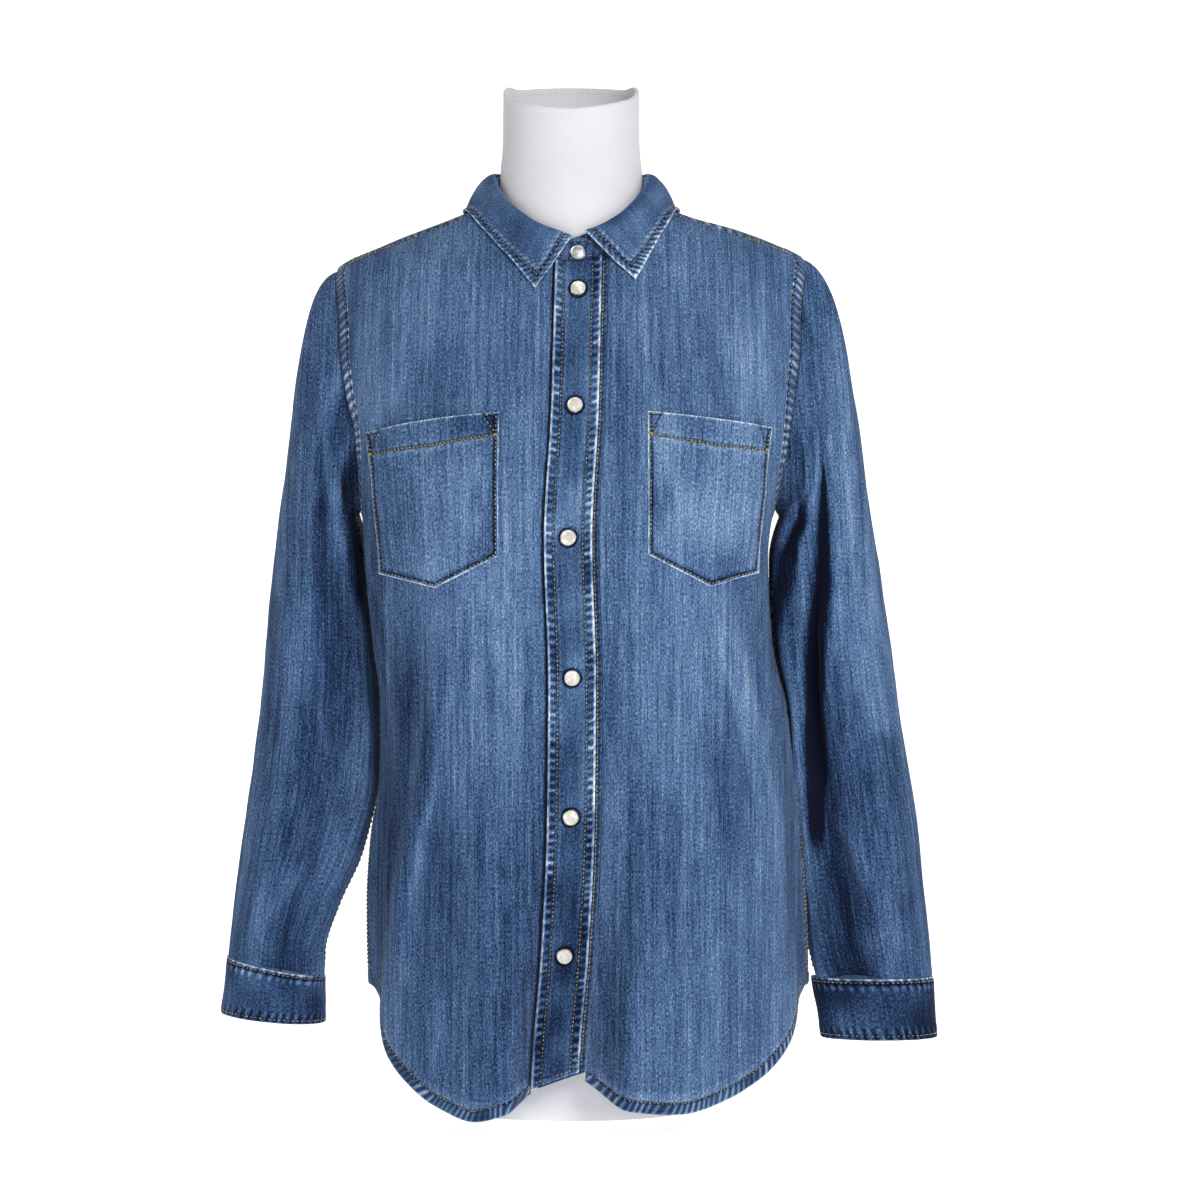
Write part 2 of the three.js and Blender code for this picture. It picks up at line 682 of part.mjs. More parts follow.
function standBandPoint(side, angle, t) {
  const lapEnd = angleAtFront(-1, standMiddle - placketWidth / 2 - 2);
  const outer = side < 0 ? 1 - ease((angle - lapEnd) / 0.2) : 0;
  const corner = side < 0 ? lerp(0.3, 1, Math.sqrt(clamp((angle - standLeft) / 0.2, 0, 1))) : 1;
  const point = standPoint(side, angle, t * corner);
  point.x += side * Math.sin(angle) * standLap * outer;
  point.y -= Math.cos(angle) * standLap * outer;
  return point;
}

function collarStand() {
  return clothWallOf(
    44,
    2,
    (s, t) => {
      const { side, angle } = roundNeck(s, standLeft, standRight);
      return standBandPoint(side, angle, t);
    },
    bandWall,
    -1,
  );
}

// How far a point stands off the body, and in which direction. The body is read as a field that is 0 on
// its outer face.
function bodyField(point) {
  const z = clamp(point.z, 1, 747);
  const reach = point.x < 0 ? body.left(z) : body.right(z);
  const depth = point.y < 0 ? body.front(z) : body.back(z);
  const turn = Math.atan2(Math.abs(point.x) / reach, -point.y / depth);
  const full = 1 + body.fullness(z) * Math.sin(2 * turn) ** 2;
  return Math.hypot(point.x / reach, point.y / depth) / full - 1;
}

function clearOfBody(point, gap) {
  const h = 0.05;
  for (let i = 0; i < 8; i++) {
    const here = bodyField(point);
    const slope = new THREE.Vector3(
      bodyField(point.clone().setX(point.x + h)) - here,
      bodyField(point.clone().setY(point.y + h)) - here,
      bodyField(point.clone().setZ(point.z + h)) - here,
    ).divideScalar(h);
    const distance = here / slope.length();
    if (distance >= gap) break;
    point.addScaledVector(slope.normalize(), Math.min(gap - distance, 4));
  }
  return point;
}

function collarLeafPoint(side, angle, r) {
  const degrees = (angle * 180) / Math.PI;
  const outward = new THREE.Vector3(side * Math.sin(angle), -Math.cos(angle), 0);
  const depth = angle < quarter ? standTop.front : standTop.back;
  const lean = seamGap * 2 + standLap * Math.max(0, Math.cos(angle)) ** 4;
  const start = new THREE.Vector3(
    side * (standTop.half + lean) * Math.sin(angle),
    -(depth + lean) * Math.cos(angle),
    collar.top(degrees),
  );
  const shift = leafShift * Math.max(0, Math.cos(angle)) ** 2;
  const edgeX = side * collar.edgeX(degrees) + shift;
  const edge = new THREE.Vector3(edgeX, collar.edgeY(degrees), collar.edgeZ(degrees));
  const firstHandle = start.clone().addScaledVector(outward, collar.roll(degrees));
  const secondHandle = edge.clone().lerp(start, 0.5).addScaledVector(outward, 1);
  const point = new THREE.CubicBezierCurve3(start, firstHandle, secondHandle, edge).getPoint(r);
  return r > 0.25 ? clearOfBody(point, bandWall + leafGap) : point;
}

function collarLeaf() {
  const middle = closure.middle(682);
  const leftStart = angleAtFront(-1, middle - 5);
  const rightEnd = angleAtFront(1, middle + 4);
  return clothWallOf(
    36,
    5,
    (s, t) => {
      const { side, angle } = roundNeck(s, leftStart, rightEnd);
      return collarLeafPoint(side, angle, 1 - t);
    },
    bandWall,
    -1,
  );
}

// A snap cap: a flat disc with a rounded rim, standing out along +Z of its own frame
function snapGeometry() {
  const profile = [
    new THREE.Vector2(0, 0),
    new THREE.Vector2(snapRadius - 0.5, 0),
    new THREE.Vector2(snapRadius, 0.6),
    new THREE.Vector2(snapRadius, 1.3),
    new THREE.Vector2(snapRadius - 1, snapHeight - 0.4),
    new THREE.Vector2(snapRadius - 3, snapHeight - 0.1),
    new THREE.Vector2(0, snapHeight),
  ];
  return new THREE.LatheGeometry(profile, 12).rotateX(quarter);
}

function addSnap(name, point, normal, material) {
  const snap = addPiece(shirt, name, snapGeometry(), material);
  snap.position.copy(point).addScaledVector(normal, seamGap * 1.5);
  snap.quaternion.setFromUnitVectors(new THREE.Vector3(0, 0, 1), normal);
}

function surfaceNormal(pointAt, s, t, outward = 1) {
  const h = 1e-3;
  const across = pointAt(s + h, t).sub(pointAt(s - h, t));
  const along = pointAt(s, t + h).sub(pointAt(s, t - h));
  return across.cross(along).normalize().multiplyScalar(outward);
}

// The shirt
addPiece(shirt, "front_left", frontPanel(-1), denim());
addPiece(shirt, "front_right", frontPanel(1), denim());
addPiece(shirt, "back", backPanel(), denim());
const placketFoot = 50;
addPiece(
  shirt,
  "placket",
  closureBand(-placketWidth / 2, placketWidth / 2, placketRise, placketFoot),
  seamDenim(),
);
addPiece(
  shirt,
  "underband",
  closureBand(-placketWidth / 2 + underbandLag, placketWidth / 2 + underbandLag, -underbandSink, placketFoot),
  seamDenim(),
);
for (const pocket of pockets) {
  const rise = pocketWall + seamGap * 3;
  const pointAt = (s, t) => pocketPoint(pocket, s, t, rise);
  addPiece(shirt, pocket.name, clothWallOf(10, 8, pointAt, pocketWall, pocket.side), denim());
}

const sleeves = [
  { word: "left", side: -1, sections: leftSleeveSections, folds: leftSleeveFolds, rings: leftCuff },
  { word: "right", side: 1, sections: rightSleeveSections, folds: rightSleeveFolds, rings: rightCuff },
];
for (const { word, side, sections, folds, rings } of sleeves) {
  const table = { ...columns(sections, "z"), foot: sections.at(-1).z };
  addPiece(shirt, "sleeve_" + word, sleeve(side, table, folds), denim());
  addPiece(shirt, "cuff_" + word, cuff(side, rings, sections.at(-1).middle), seamDenim());
}
addPiece(shirt, "collar_stand", collarStand(), seamDenim());
addPiece(shirt, "collar_leaf", collarLeaf(), denim());

const pearl = () => finish(colours.snap, 0.35);
snapHeights.forEach((z, i) => {
  const x = closure.middle(z);
  const pointAt = (s, t) => {
    const height = z + t;
    const side = x + s < 0 ? -1 : 1;
    return bodyPoint(side, turnAt(side, Math.abs(x + s), height), height, placketRise);
  };
  addSnap("snap_" + (i + 1), pointAt(0, 0), surfaceNormal(pointAt, 0, 0), pearl());
});

const neckSnapAngle = angleAtFront(-1, 5.5);
const onStand = (s, t) => standBandPoint(-1, neckSnapAngle + s, 0.32 + t);
addSnap("snap_neck", onStand(0, 0), surfaceNormal(onStand, 0, 0, -1), pearl());
for (const { word, side, sections, rings } of sleeves) {
  const onCuff = (s, t) => cuffPoint(side, rings, sections.at(-1).middle, cuffSnapAt + s, 0.5 + t);
  addSnap("snap_cuff_" + word, onCuff(0, 0), surfaceNormal(onCuff, 0, 0, side), pearl());
}

// The dress form: rings up to the shoulders, then the cloth's own shoulder line lowered, then the neck
const formBody = columns(formSections, "z");
const neckTable = columns(formNeck, "z");

// The reach of an oval section in the direction of a point
function ovalReach(point, half, front, back) {
  const depth = point.y < 0 ? front : back;
  return point.length() / Math.hypot(point.x / half, point.y / depth);
}

function formPoint(turn, z) {
  const cloth = z + formShoulderDrop;
  const onShoulders = z > 676;
  const widest = formBody.half(676) - (z - 676) * 0.5;
  const side = turn > Math.PI ? -1 : 1;
  const half = onShoulders ? Math.min(widest, reachOf(side, cloth)) : formBody.half(z);
  const front = onShoulders ? body.front(cloth) - formShoulderDrop : formBody.front(z);
  const back = onShoulders ? body.back(cloth) - formShoulderDrop : formBody.back(z);
  const depth = Math.cos(turn) > 0 ? front : back;
  const point = new THREE.Vector2(half * Math.sin(turn), -depth * Math.cos(turn));
  if (onShoulders) {
    const neck = ovalReach(point, neckTable.half(z), neckTable.front(z), neckTable.back(z));
    if (z >= 745) point.setLength(neck);
    else point.setLength(Math.max(neck, point.length()));
  }
  return new THREE.Vector3(point.x, point.y, z);
}

const formHeights = [
  12, 17, 30, 60, 100, 150, 200, 260, 320, 370, 410, 445, 475, 505, 540, 580, 615, 645, 662, 676, 684, 692, 700, 708,
  716, 724, 731, 738, 750, 766, 782, 798,
];

function dressForm() {
  const around = 32;
  const rings = formHeights.map((z) => {
    const ring = [];
    for (let i = 0; i < around; i++) ring.push(formPoint((i / around) * 2 * Math.PI, z));
    return ring;
  });
  const slant = (y) => lerp(formTopFront, formTopBack, clamp((y + 52) / 105, 0, 1) ** 0.8);
  const rim = (inset, drop) =>
    rings.at(-1).map((point) => {
      const scale = 1 - inset / 53;
      const x = point.x * scale;
      const y = point.y * scale;
      return new THREE.Vector3(x, y, slant(y) - drop);
    });
  rings.push(rim(0, 2), rim(1, 0), rim(neckRim - 1, 0), rim(neckRim, 2), rim(neckRim + 1, neckRecess));
  const points = rings.flat();
  const triangles = [];
  for (let j = 0; j < rings.length - 1; j++) {
    for (let i = 0; i < around; i++) {
      const [a, b] = [j * around + i, j * around + ((i + 1) % around)];
      triangles.push(a, b, b + around, a, b + around, a + around);
    }
  }
  const foot = points.push(new THREE.Vector3(0, 0, formHeights[0])) - 1;
  const last = (rings.length - 1) * around;
  const middleY = rings.at(-1).reduce((sum, point) => sum + point.y, 0) / around;
  const top = points.push(new THREE.Vector3(0, middleY, slant(middleY) - neckRecess)) - 1;
  for (let i = 0; i < around; i++) {
    const next = (i + 1) % around;
    triangles.push(foot, next, i, top, last + i, last + next);
  }
  const positions = new Float32Array(points.length * 3);
  points.forEach((point, i) => point.toArray(positions, i * 3));
  return new THREE.BufferGeometry()
    .setAttribute("position", new THREE.BufferAttribute(positions, 3))
    .setIndex(triangles);
}

const form = new THREE.Group();
addPiece(form, "dress_form", dressForm(), finish(colours.form, 0.6));

const model = new THREE.Group();
model.add(shirt, form);
shirt.position.z = -underside;
form.position.z = -underside;
export default model;
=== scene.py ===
# A denim shirt worn by a limbless dress form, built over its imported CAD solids.
# The surfaces are worked out in millimetres with heights from 12 mm under the form, as the CAD tables
# are, and turned into metres when a mesh is placed.
import bpy
import bmesh
import json
import math
import numpy as np
from mathutils import Matrix, Vector
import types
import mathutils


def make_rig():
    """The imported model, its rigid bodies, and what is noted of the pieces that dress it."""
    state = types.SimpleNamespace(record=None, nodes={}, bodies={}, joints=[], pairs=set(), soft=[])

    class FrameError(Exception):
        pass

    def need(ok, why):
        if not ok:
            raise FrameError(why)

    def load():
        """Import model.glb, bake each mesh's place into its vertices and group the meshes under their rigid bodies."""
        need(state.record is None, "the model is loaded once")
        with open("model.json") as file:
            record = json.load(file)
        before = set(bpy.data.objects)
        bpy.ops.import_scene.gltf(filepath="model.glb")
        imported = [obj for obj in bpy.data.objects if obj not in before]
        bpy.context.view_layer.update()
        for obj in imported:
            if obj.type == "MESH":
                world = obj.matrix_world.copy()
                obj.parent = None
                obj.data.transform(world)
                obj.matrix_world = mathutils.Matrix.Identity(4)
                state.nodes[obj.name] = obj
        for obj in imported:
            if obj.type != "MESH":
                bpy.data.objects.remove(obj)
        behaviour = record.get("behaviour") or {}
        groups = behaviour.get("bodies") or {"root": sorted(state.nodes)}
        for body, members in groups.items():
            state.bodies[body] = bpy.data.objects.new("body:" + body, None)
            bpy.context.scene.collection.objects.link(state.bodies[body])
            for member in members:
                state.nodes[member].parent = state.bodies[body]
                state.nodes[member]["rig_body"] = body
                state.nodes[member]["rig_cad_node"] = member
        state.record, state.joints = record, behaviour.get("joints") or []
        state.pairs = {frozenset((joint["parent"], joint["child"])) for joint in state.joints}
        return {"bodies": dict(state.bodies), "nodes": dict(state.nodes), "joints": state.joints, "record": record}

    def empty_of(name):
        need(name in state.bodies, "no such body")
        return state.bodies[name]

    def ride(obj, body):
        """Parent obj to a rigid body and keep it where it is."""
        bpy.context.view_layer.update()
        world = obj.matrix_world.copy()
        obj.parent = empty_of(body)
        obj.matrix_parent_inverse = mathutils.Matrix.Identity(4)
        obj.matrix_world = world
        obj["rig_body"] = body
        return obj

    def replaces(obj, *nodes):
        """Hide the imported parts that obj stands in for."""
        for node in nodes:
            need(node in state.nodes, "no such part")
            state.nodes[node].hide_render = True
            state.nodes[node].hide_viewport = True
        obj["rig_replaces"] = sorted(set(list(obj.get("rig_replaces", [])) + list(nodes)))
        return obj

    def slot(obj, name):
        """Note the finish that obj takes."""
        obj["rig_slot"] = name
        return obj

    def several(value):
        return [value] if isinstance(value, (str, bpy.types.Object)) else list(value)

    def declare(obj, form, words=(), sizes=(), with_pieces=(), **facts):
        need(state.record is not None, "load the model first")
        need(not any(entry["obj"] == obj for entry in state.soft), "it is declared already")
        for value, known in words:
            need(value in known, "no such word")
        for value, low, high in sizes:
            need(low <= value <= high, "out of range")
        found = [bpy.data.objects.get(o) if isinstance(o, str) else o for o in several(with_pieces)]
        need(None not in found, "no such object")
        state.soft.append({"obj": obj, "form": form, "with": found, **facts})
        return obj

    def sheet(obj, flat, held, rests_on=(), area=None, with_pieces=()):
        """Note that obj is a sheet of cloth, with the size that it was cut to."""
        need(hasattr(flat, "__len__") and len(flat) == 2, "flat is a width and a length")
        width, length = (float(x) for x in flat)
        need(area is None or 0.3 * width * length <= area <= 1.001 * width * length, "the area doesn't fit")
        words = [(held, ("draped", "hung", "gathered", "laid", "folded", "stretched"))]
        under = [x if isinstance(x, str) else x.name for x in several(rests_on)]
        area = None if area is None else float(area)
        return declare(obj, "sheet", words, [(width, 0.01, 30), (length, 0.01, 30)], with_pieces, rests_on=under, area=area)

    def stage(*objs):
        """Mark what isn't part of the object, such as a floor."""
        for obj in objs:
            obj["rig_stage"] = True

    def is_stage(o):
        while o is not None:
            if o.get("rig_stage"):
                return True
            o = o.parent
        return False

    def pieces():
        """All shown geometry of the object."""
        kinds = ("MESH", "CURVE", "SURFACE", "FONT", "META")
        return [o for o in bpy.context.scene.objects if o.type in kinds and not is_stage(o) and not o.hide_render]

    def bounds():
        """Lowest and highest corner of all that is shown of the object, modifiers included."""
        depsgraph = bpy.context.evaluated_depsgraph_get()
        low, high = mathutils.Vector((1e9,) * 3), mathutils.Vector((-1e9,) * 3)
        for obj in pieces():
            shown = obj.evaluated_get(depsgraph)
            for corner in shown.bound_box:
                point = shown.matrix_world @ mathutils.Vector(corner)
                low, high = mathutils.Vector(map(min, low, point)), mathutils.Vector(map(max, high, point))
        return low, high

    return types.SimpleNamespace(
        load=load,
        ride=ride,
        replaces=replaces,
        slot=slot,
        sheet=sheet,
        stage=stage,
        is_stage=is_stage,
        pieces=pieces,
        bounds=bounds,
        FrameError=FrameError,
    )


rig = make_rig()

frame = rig.load()
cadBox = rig.bounds()
print("frame loaded")

mm = 0.001
underside = 12  # the tables' heights start this far under the form
quarter = math.pi / 2

bodySections = {
    "z": [
        0, 116, 180, 230, 284, 336, 391, 453, 500, 550, 585,
        620, 655, 676, 684, 692, 700, 708, 716, 724, 738, 748,
    ],
    "left": [
        155, 160, 160, 157, 150, 151, 158, 164, 167, 175, 186,
        191, 191, 189, 186, 174, 156, 138, 117, 96, 65, 54,
    ],
    "right": [
        180, 188, 185, 181, 176, 171, 160, 157, 163, 177, 185,
        190, 190, 190, 190, 185, 171, 153, 130, 100, 66, 54,
    ],
    "front": [
        122, 122, 123, 124, 125, 126, 127, 127, 124, 115, 105,
        92, 77, 68, 63, 57, 53, 49, 46, 43, 39, 35,
    ],
    "back": [
        123, 119, 116, 113, 110, 108, 107, 107, 108, 109, 107,
        102, 94, 87, 83, 80, 76, 73, 71, 69, 65, 57,
    ],
    "fullness": [
        0.05, 0.05, 0.05, 0.06, 0.07, 0.08, 0.09, 0.1, 0.1, 0.09, 0.08,
        0.07, 0.05, 0.04, 0.03, 0.03, 0.02, 0, 0, 0, 0, 0,
    ],
}

hemLine = {
    "turn": [0, 7, 14, 26, 38, 48, 58, 66, 76, 90, 104, 116, 130, 145, 162, 180],
    "left": [52, 45, 36, 27, 36, 54, 76, 93, 104, 113, 104, 84, 54, 29, 17, 15],
    "right": [56, 44, 36, 33, 41, 55, 77, 93, 105, 113, 104, 84, 54, 29, 17, 15],
}

closureLine = {
    "z": [30, 90, 149, 255, 360, 465, 565, 657, 700],
    "middle": [-13, -9, -4, 1, 2, -1, 4, 6, 7],
    "recess": [50, 36, 24, 12, 6, 2, 0, 0, 0],
    "leftRun": [17, 17, 17, 16, 15, 14, 14, 14, 14],
    "rightRun": [34, 34, 34, 34, 30, 26, 24, 24, 24],
}

leftSleeveSections = {
    "z": [452, 400, 340, 280, 228, 180, 146, 129],
    "outer": [238, 244, 250, 257, 264, 270, 273.5, 274.5],
    "inner": [152, 148, 147, 150, 165, 187, 197, 197.5],
    "middle": [9, 13, 17, 17, 13, 7, 3, 0],
    "depth": [108, 104, 98, 88, 76, 66, 60, 56],
    "tilt": [0, 1, 3, 5, 8, 10, 11, 11.6],
}

rightSleeveSections = {
    "z": [452, 400, 340, 280, 228, 180, 142, 118],
    "outer": [247, 254, 263, 273, 281, 286, 289, 290],
    "inner": [152, 150, 154, 162, 168, 177, 185, 195],
    "middle": [10, 15, 20, 23, 25, 24, 20, 15],
    "depth": [108, 102, 94, 84, 70, 56, 44, 37],
    "tilt": [0, 0, 0, 0, 0, 0, 0, 0],
}

collarSections = {
    "turn": [0, 20, 50, 70, 90, 112, 135, 157, 180],
    "top": [703, 711, 731, 747, 761, 764, 766, 768, 768],
    "roll": [5, 6, 8, 10, 11, 10, 9, 8, 8],
    "edgeX": [36, 47, 64, 77, 86, 80, 61, 33, 0],
    "edgeY": [-74, -66, -45, -20, 4, 34, 54, 68, 72],
    "edgeZ": [659, 674, 698, 716, 728, 729, 729, 728, 728],
}

formSections = {
    "z": [12, 22, 55, 100, 150, 200, 260, 320, 380, 440, 475, 515, 550, 600, 640, 662, 676],
    "half": [92, 99, 114, 132, 141, 140, 132, 118, 122, 138, 146, 149, 150, 157, 165, 168, 167],
    "front": [44, 49, 53, 63, 80, 88, 86, 84, 94, 116, 121, 117, 108, 92, 77, 68, 62],
    "back": [66, 72, 80, 90, 96, 96, 90, 84, 86, 94, 99, 102, 102, 99, 93, 86, 80],
}

formNeck = {
    "z": [676, 738, 763, 780, 800],
    "half": [58.5, 57.5, 56.5, 55, 54.5],
    "front": [55, 54, 53, 52, 52],
    "back": [58.5, 57.5, 55, 54, 53],
}

bodyFolds = [
    dict(side=-1, top=470, foot=40, topTurn=40, footTurn=54, width=13, depth=7),
    dict(side=-1, top=420, foot=60, topTurn=57, footTurn=76, width=12, depth=-8),
    dict(side=-1, top=330, foot=10, topTurn=17, footTurn=20, width=11, depth=7),
    dict(side=1, top=450, foot=30, topTurn=46, footTurn=56, width=13, depth=6),
    dict(side=1, top=400, foot=60, topTurn=62, footTurn=76, width=11, depth=-6),
    dict(side=1, top=330, foot=10, topTurn=17, footTurn=24, width=12, depth=7),
    dict(side=-1, top=480, foot=0, topTurn=146, footTurn=140, width=14, depth=9),
    dict(side=-1, top=420, foot=0, topTurn=122, footTurn=118, width=12, depth=-8),
    dict(side=1, top=470, foot=0, topTurn=150, footTurn=152, width=14, depth=9),
    dict(side=1, top=430, foot=0, topTurn=126, footTurn=122, width=13, depth=-8),
]

leftSleeveFolds = [
    dict(top=560, foot=150, topRound=96, footRound=106, width=24, depth=-7),
    dict(top=520, foot=200, topRound=138, footRound=146, width=20, depth=5),
    dict(top=500, foot=180, topRound=262, footRound=250, width=26, depth=-7),
    dict(top=420, foot=130, topRound=60, footRound=64, width=18, depth=3),
]

rightSleeveFolds = [
    dict(top=545, foot=225, topRound=118, footRound=112, width=19, depth=-17),
    dict(top=560, foot=330, topRound=146, footRound=148, width=16, depth=7),
    dict(top=500, foot=180, topRound=262, footRound=250, width=26, depth=-7),
    dict(top=330, foot=130, topRound=64, footRound=60, width=18, depth=3),
]

clothSizes = dict(
    panelWall=1.4,
    bandWall=1.6,
    pocketWall=1.0,
    seamGap=0.3,
    placketWidth=36,
    underbandLag=5,
    placketRise=0.7,
    neckHalf=62,
    neckFront=64,
    neckBack=62,
    armholeReach=math.radians(25),
)
armholes = {-1: dict(middle=588, halfHeight=96), 1: dict(middle=593, halfHeight=101)}
underbandSink = clothSizes["bandWall"] + clothSizes["seamGap"] * 2.2 - clothSizes["placketRise"]


# A smooth curve through one column of a table
def smoothColumn(keys, values):
    x = np.array(keys, float)
    y = np.array(values, float)
    if x[0] > x[-1]:
        x, y = x[::-1], y[::-1]
    steps = np.diff(y) / np.diff(x)
    slopes = np.empty_like(y)
    slopes[0], slopes[-1] = steps[0], steps[-1]
    before, after = steps[:-1], steps[1:]
    total = np.where(before + after == 0, 1, before + after)
    slopes[1:-1] = np.where(before * after <= 0, 0, 2 * before * after / total)

    def curve(at):
        at = np.clip(at, x[0], x[-1])
        i = np.clip(np.searchsorted(x, at) - 1, 0, len(x) - 2)
        h = x[i + 1] - x[i]
        t = (at - x[i]) / h
        return (
            (2 * t**3 - 3 * t**2 + 1) * y[i]
            + (t**3 - 2 * t**2 + t) * h * slopes[i]
            + (3 * t**2 - 2 * t**3) * y[i + 1]
            + (t**3 - t**2) * h * slopes[i + 1]
        )

    return curve


def curvesOf(table, key):
    return {name: smoothColumn(table[key], table[name]) for name in table if name != key}


body = curvesOf(bodySections, "z")
hem = curvesOf(hemLine, "turn")
closure = curvesOf(closureLine, "z")
collar = curvesOf(collarSections, "turn")
formBody = curvesOf(formSections, "z")
formNeckCurves = curvesOf(formNeck, "z")


def hump(distance):
    d = np.abs(distance)
    return np.where(d >= 1, 0, (1 + np.cos(np.pi * np.minimum(d, 1))) / 2)


def ease(x):
    t = np.clip(x, 0, 1)
    return t * t * (3 - 2 * t)


def lerp(a, b, t):
    return a + (b - a) * t


def stack(x, y, z):
    return np.stack(np.broadcast_arrays(x, y, z), axis=-1).astype(float)


def unit(v):
    return v / np.maximum(np.linalg.norm(v, axis=-1, keepdims=True), 1e-9)


noiseCells = np.random.RandomState(11).rand(61, 67) * 2 - 1


# Smooth noise from -1 to 1 over cells one unit wide
def softNoise(u, v, seed=0):
    u = np.asarray(u, float) + seed * 17.3
    v = np.asarray(v, float) + seed * 5.9
    i = np.floor(u).astype(int)
    j = np.floor(v).astype(int)
    fu = ease(u - i)
    fv = ease(v - j)

    def cell(a, b):
        return noiseCells[a % 61, b % 67]

    low = lerp(cell(i, j), cell(i + 1, j), fu)
    high = lerp(cell(i, j + 1), cell(i + 1, j + 1), fu)
    return lerp(low, high, fv)


# The rows of small ridges that a shrunk seam draws up: 0 in the dips and 1 on the ridges
def pucker(along, across=0, period=5.6, skew=0.35, seed=0):
    drift = 0.45 * softNoise(along / 19, across * 0.02, seed)
    wave = 0.5 + 0.5 * np.cos(2 * np.pi * (along / period + drift + skew * across / period))
    strength = 0.82 + 0.26 * softNoise(along / 9, across * 0.03, seed + 3)
    return wave * strength


# Soft creases: each runs from one point to another, its width and depth in millimetres
def creaseHeight(creases, across, along):
    total = np.zeros(np.broadcast(across, along).shape)
    for c in creases:
        du, dv = c["toU"] - c["fromU"], c["toV"] - c["fromV"]
        length2 = du * du + dv * dv
        t = ((across - c["fromU"]) * du + (along - c["fromV"]) * dv) / length2
        held = np.clip(t, 0, 1)
        bend = c.get("bend", 0) * np.sin(np.pi * held)
        offU = across - (c["fromU"] + du * held) - bend * dv / math.sqrt(length2)
        offV = along - (c["fromV"] + dv * held) + bend * du / math.sqrt(length2)
        distance = np.sqrt(offU**2 + offV**2) / c["width"]
        total = total + c["depth"] * hump(distance) * np.sin(np.pi * np.clip(t * 0.84 + 0.08, 0, 1)) ** 0.7
    return total


def foldHeight(folds, turnKey, degrees, z, side=None):
    total = np.zeros(np.broadcast(degrees, z).shape)
    for fold in folds:
        along = (fold["top"] - z) / (fold["top"] - fold["foot"])
        centre = lerp(fold["top" + turnKey], fold["foot" + turnKey], np.clip(along, 0, 1))
        height = fold["depth"] * ease(along * 1.4) * hump((degrees - centre) / (2 * fold["width"]))
        if side is not None:
            height = height * (side == fold["side"])
        total = total + np.where(along <= 0, 0, height)
    return total


# Creases of the worn body, by millimetres round from the centre front and by height.
# Left ones have a negative first number.
bodyCreases = [
    dict(fromU=-88, fromV=396, toU=-132, toV=150, width=14, depth=4.6, bend=3),
    dict(fromU=-109, fromV=400, toU=-152, toV=170, width=18, depth=-4.6, bend=3),
    dict(fromU=-60, fromV=330, toU=-52, toV=70, width=17, depth=1.8),
    dict(fromU=-150, fromV=505, toU=-108, toV=590, width=15, depth=-1.6),
    dict(fromU=-178, fromV=470, toU=-128, toV=400, width=17, depth=1.8),
    dict(fromU=-165, fromV=440, toU=-120, toV=330, width=15, depth=-1.7),
    dict(fromU=108, fromV=420, toU=150, toV=236, width=14, depth=3.2),
    dict(fromU=124, fromV=452, toU=142, toV=330, width=13, depth=-2.6),
    dict(fromU=88, fromV=350, toU=112, toV=210, width=16, depth=-2.0),
    dict(fromU=66, fromV=320, toU=88, toV=60, width=18, depth=1.9),
    dict(fromU=152, fromV=510, toU=112, toV=600, width=15, depth=-1.6),
    dict(fromU=184, fromV=470, toU=138, toV=410, width=16, depth=1.8),
    dict(fromU=-24, fromV=520, toU=-30, toV=350, width=9, depth=1.2),
    dict(fromU=46, fromV=560, toU=40, toV=400, width=10, depth=1.2),
    dict(fromU=-36, fromV=250, toU=-30, toV=60, width=11, depth=1.6),
    dict(fromU=-230, fromV=330, toU=-250, toV=40, width=24, depth=3),
    dict(fromU=230, fromV=340, toU=262, toV=40, width=24, depth=3),
    dict(fromU=-300, fromV=450, toU=-330, toV=60, width=26, depth=-3),
    dict(fromU=300, fromV=450, toU=330, toV=60, width=26, depth=-3),
    dict(fromU=-210, fromV=470, toU=-290, toV=540, width=18, depth=-1.8),
    dict(fromU=210, fromV=470, toU=290, toV=540, width=18, depth=-1.8),
]


# How far the cloth of the body lies off its smooth form
def bodyRelief(side, turn, z):
    girth = turn * 152
    around = side * girth
    calm = 1 - 0.75 * ease((z - 610) / 60)
    creases = creaseHeight(bodyCreases, around, z)
    rumple = (
        0.9 * softNoise(around / 62, z / 120, 1)
        + 0.65 * softNoise(around / 27, z / 74, 2)
        + 0.22 * softNoise(around / 11, z / 24, 3)
    )
    nearNeck = 1 - ease((z - 668) / 22)
    return (creases * nearNeck + rumple) * calm


def reachOf(side, z):
    return np.where(np.asarray(side) < 0, body["left"](z), body["right"](z))


def recessAt(x, z):
    across = x - closure["middle"](z)
    past = np.abs(across) - clothSizes["placketWidth"] / 2 - np.where(across < 0, 0, clothSizes["underbandLag"])
    run = np.where(across < 0, closure["leftRun"](z), closure["rightRun"](z))
    return closure["recess"](z) * np.where(past <= 0, 1, 1 - ease(past / run))


# A point on the outer face of the body; turn runs from the centre front to a half turn at the back
def bodyPoint(side, turn, z, rise=0, fine=True):
    side, turn, z = np.broadcast_arrays(side, turn, z)
    reach = reachOf(side, z)
    depth = np.where(turn < quarter, body["front"](z), body["back"](z))
    full = 1 + body["fullness"](z) * np.sin(2 * turn) ** 2
    normal = unit(stack(side * depth * np.sin(turn), -reach * np.cos(turn), 0 * z))
    off = rise + foldHeight(bodyFolds, "Turn", np.degrees(turn), z, side)
    if fine:
        off = off + bodyRelief(side, turn, z)
    point = stack(side * reach * np.sin(turn) * full, -depth * np.cos(turn) * full, z)
    point = point + normal * np.asarray(off)[..., None]
    point[..., 1] += np.where(turn < quarter, recessAt(point[..., 0], z), 0)
    return point


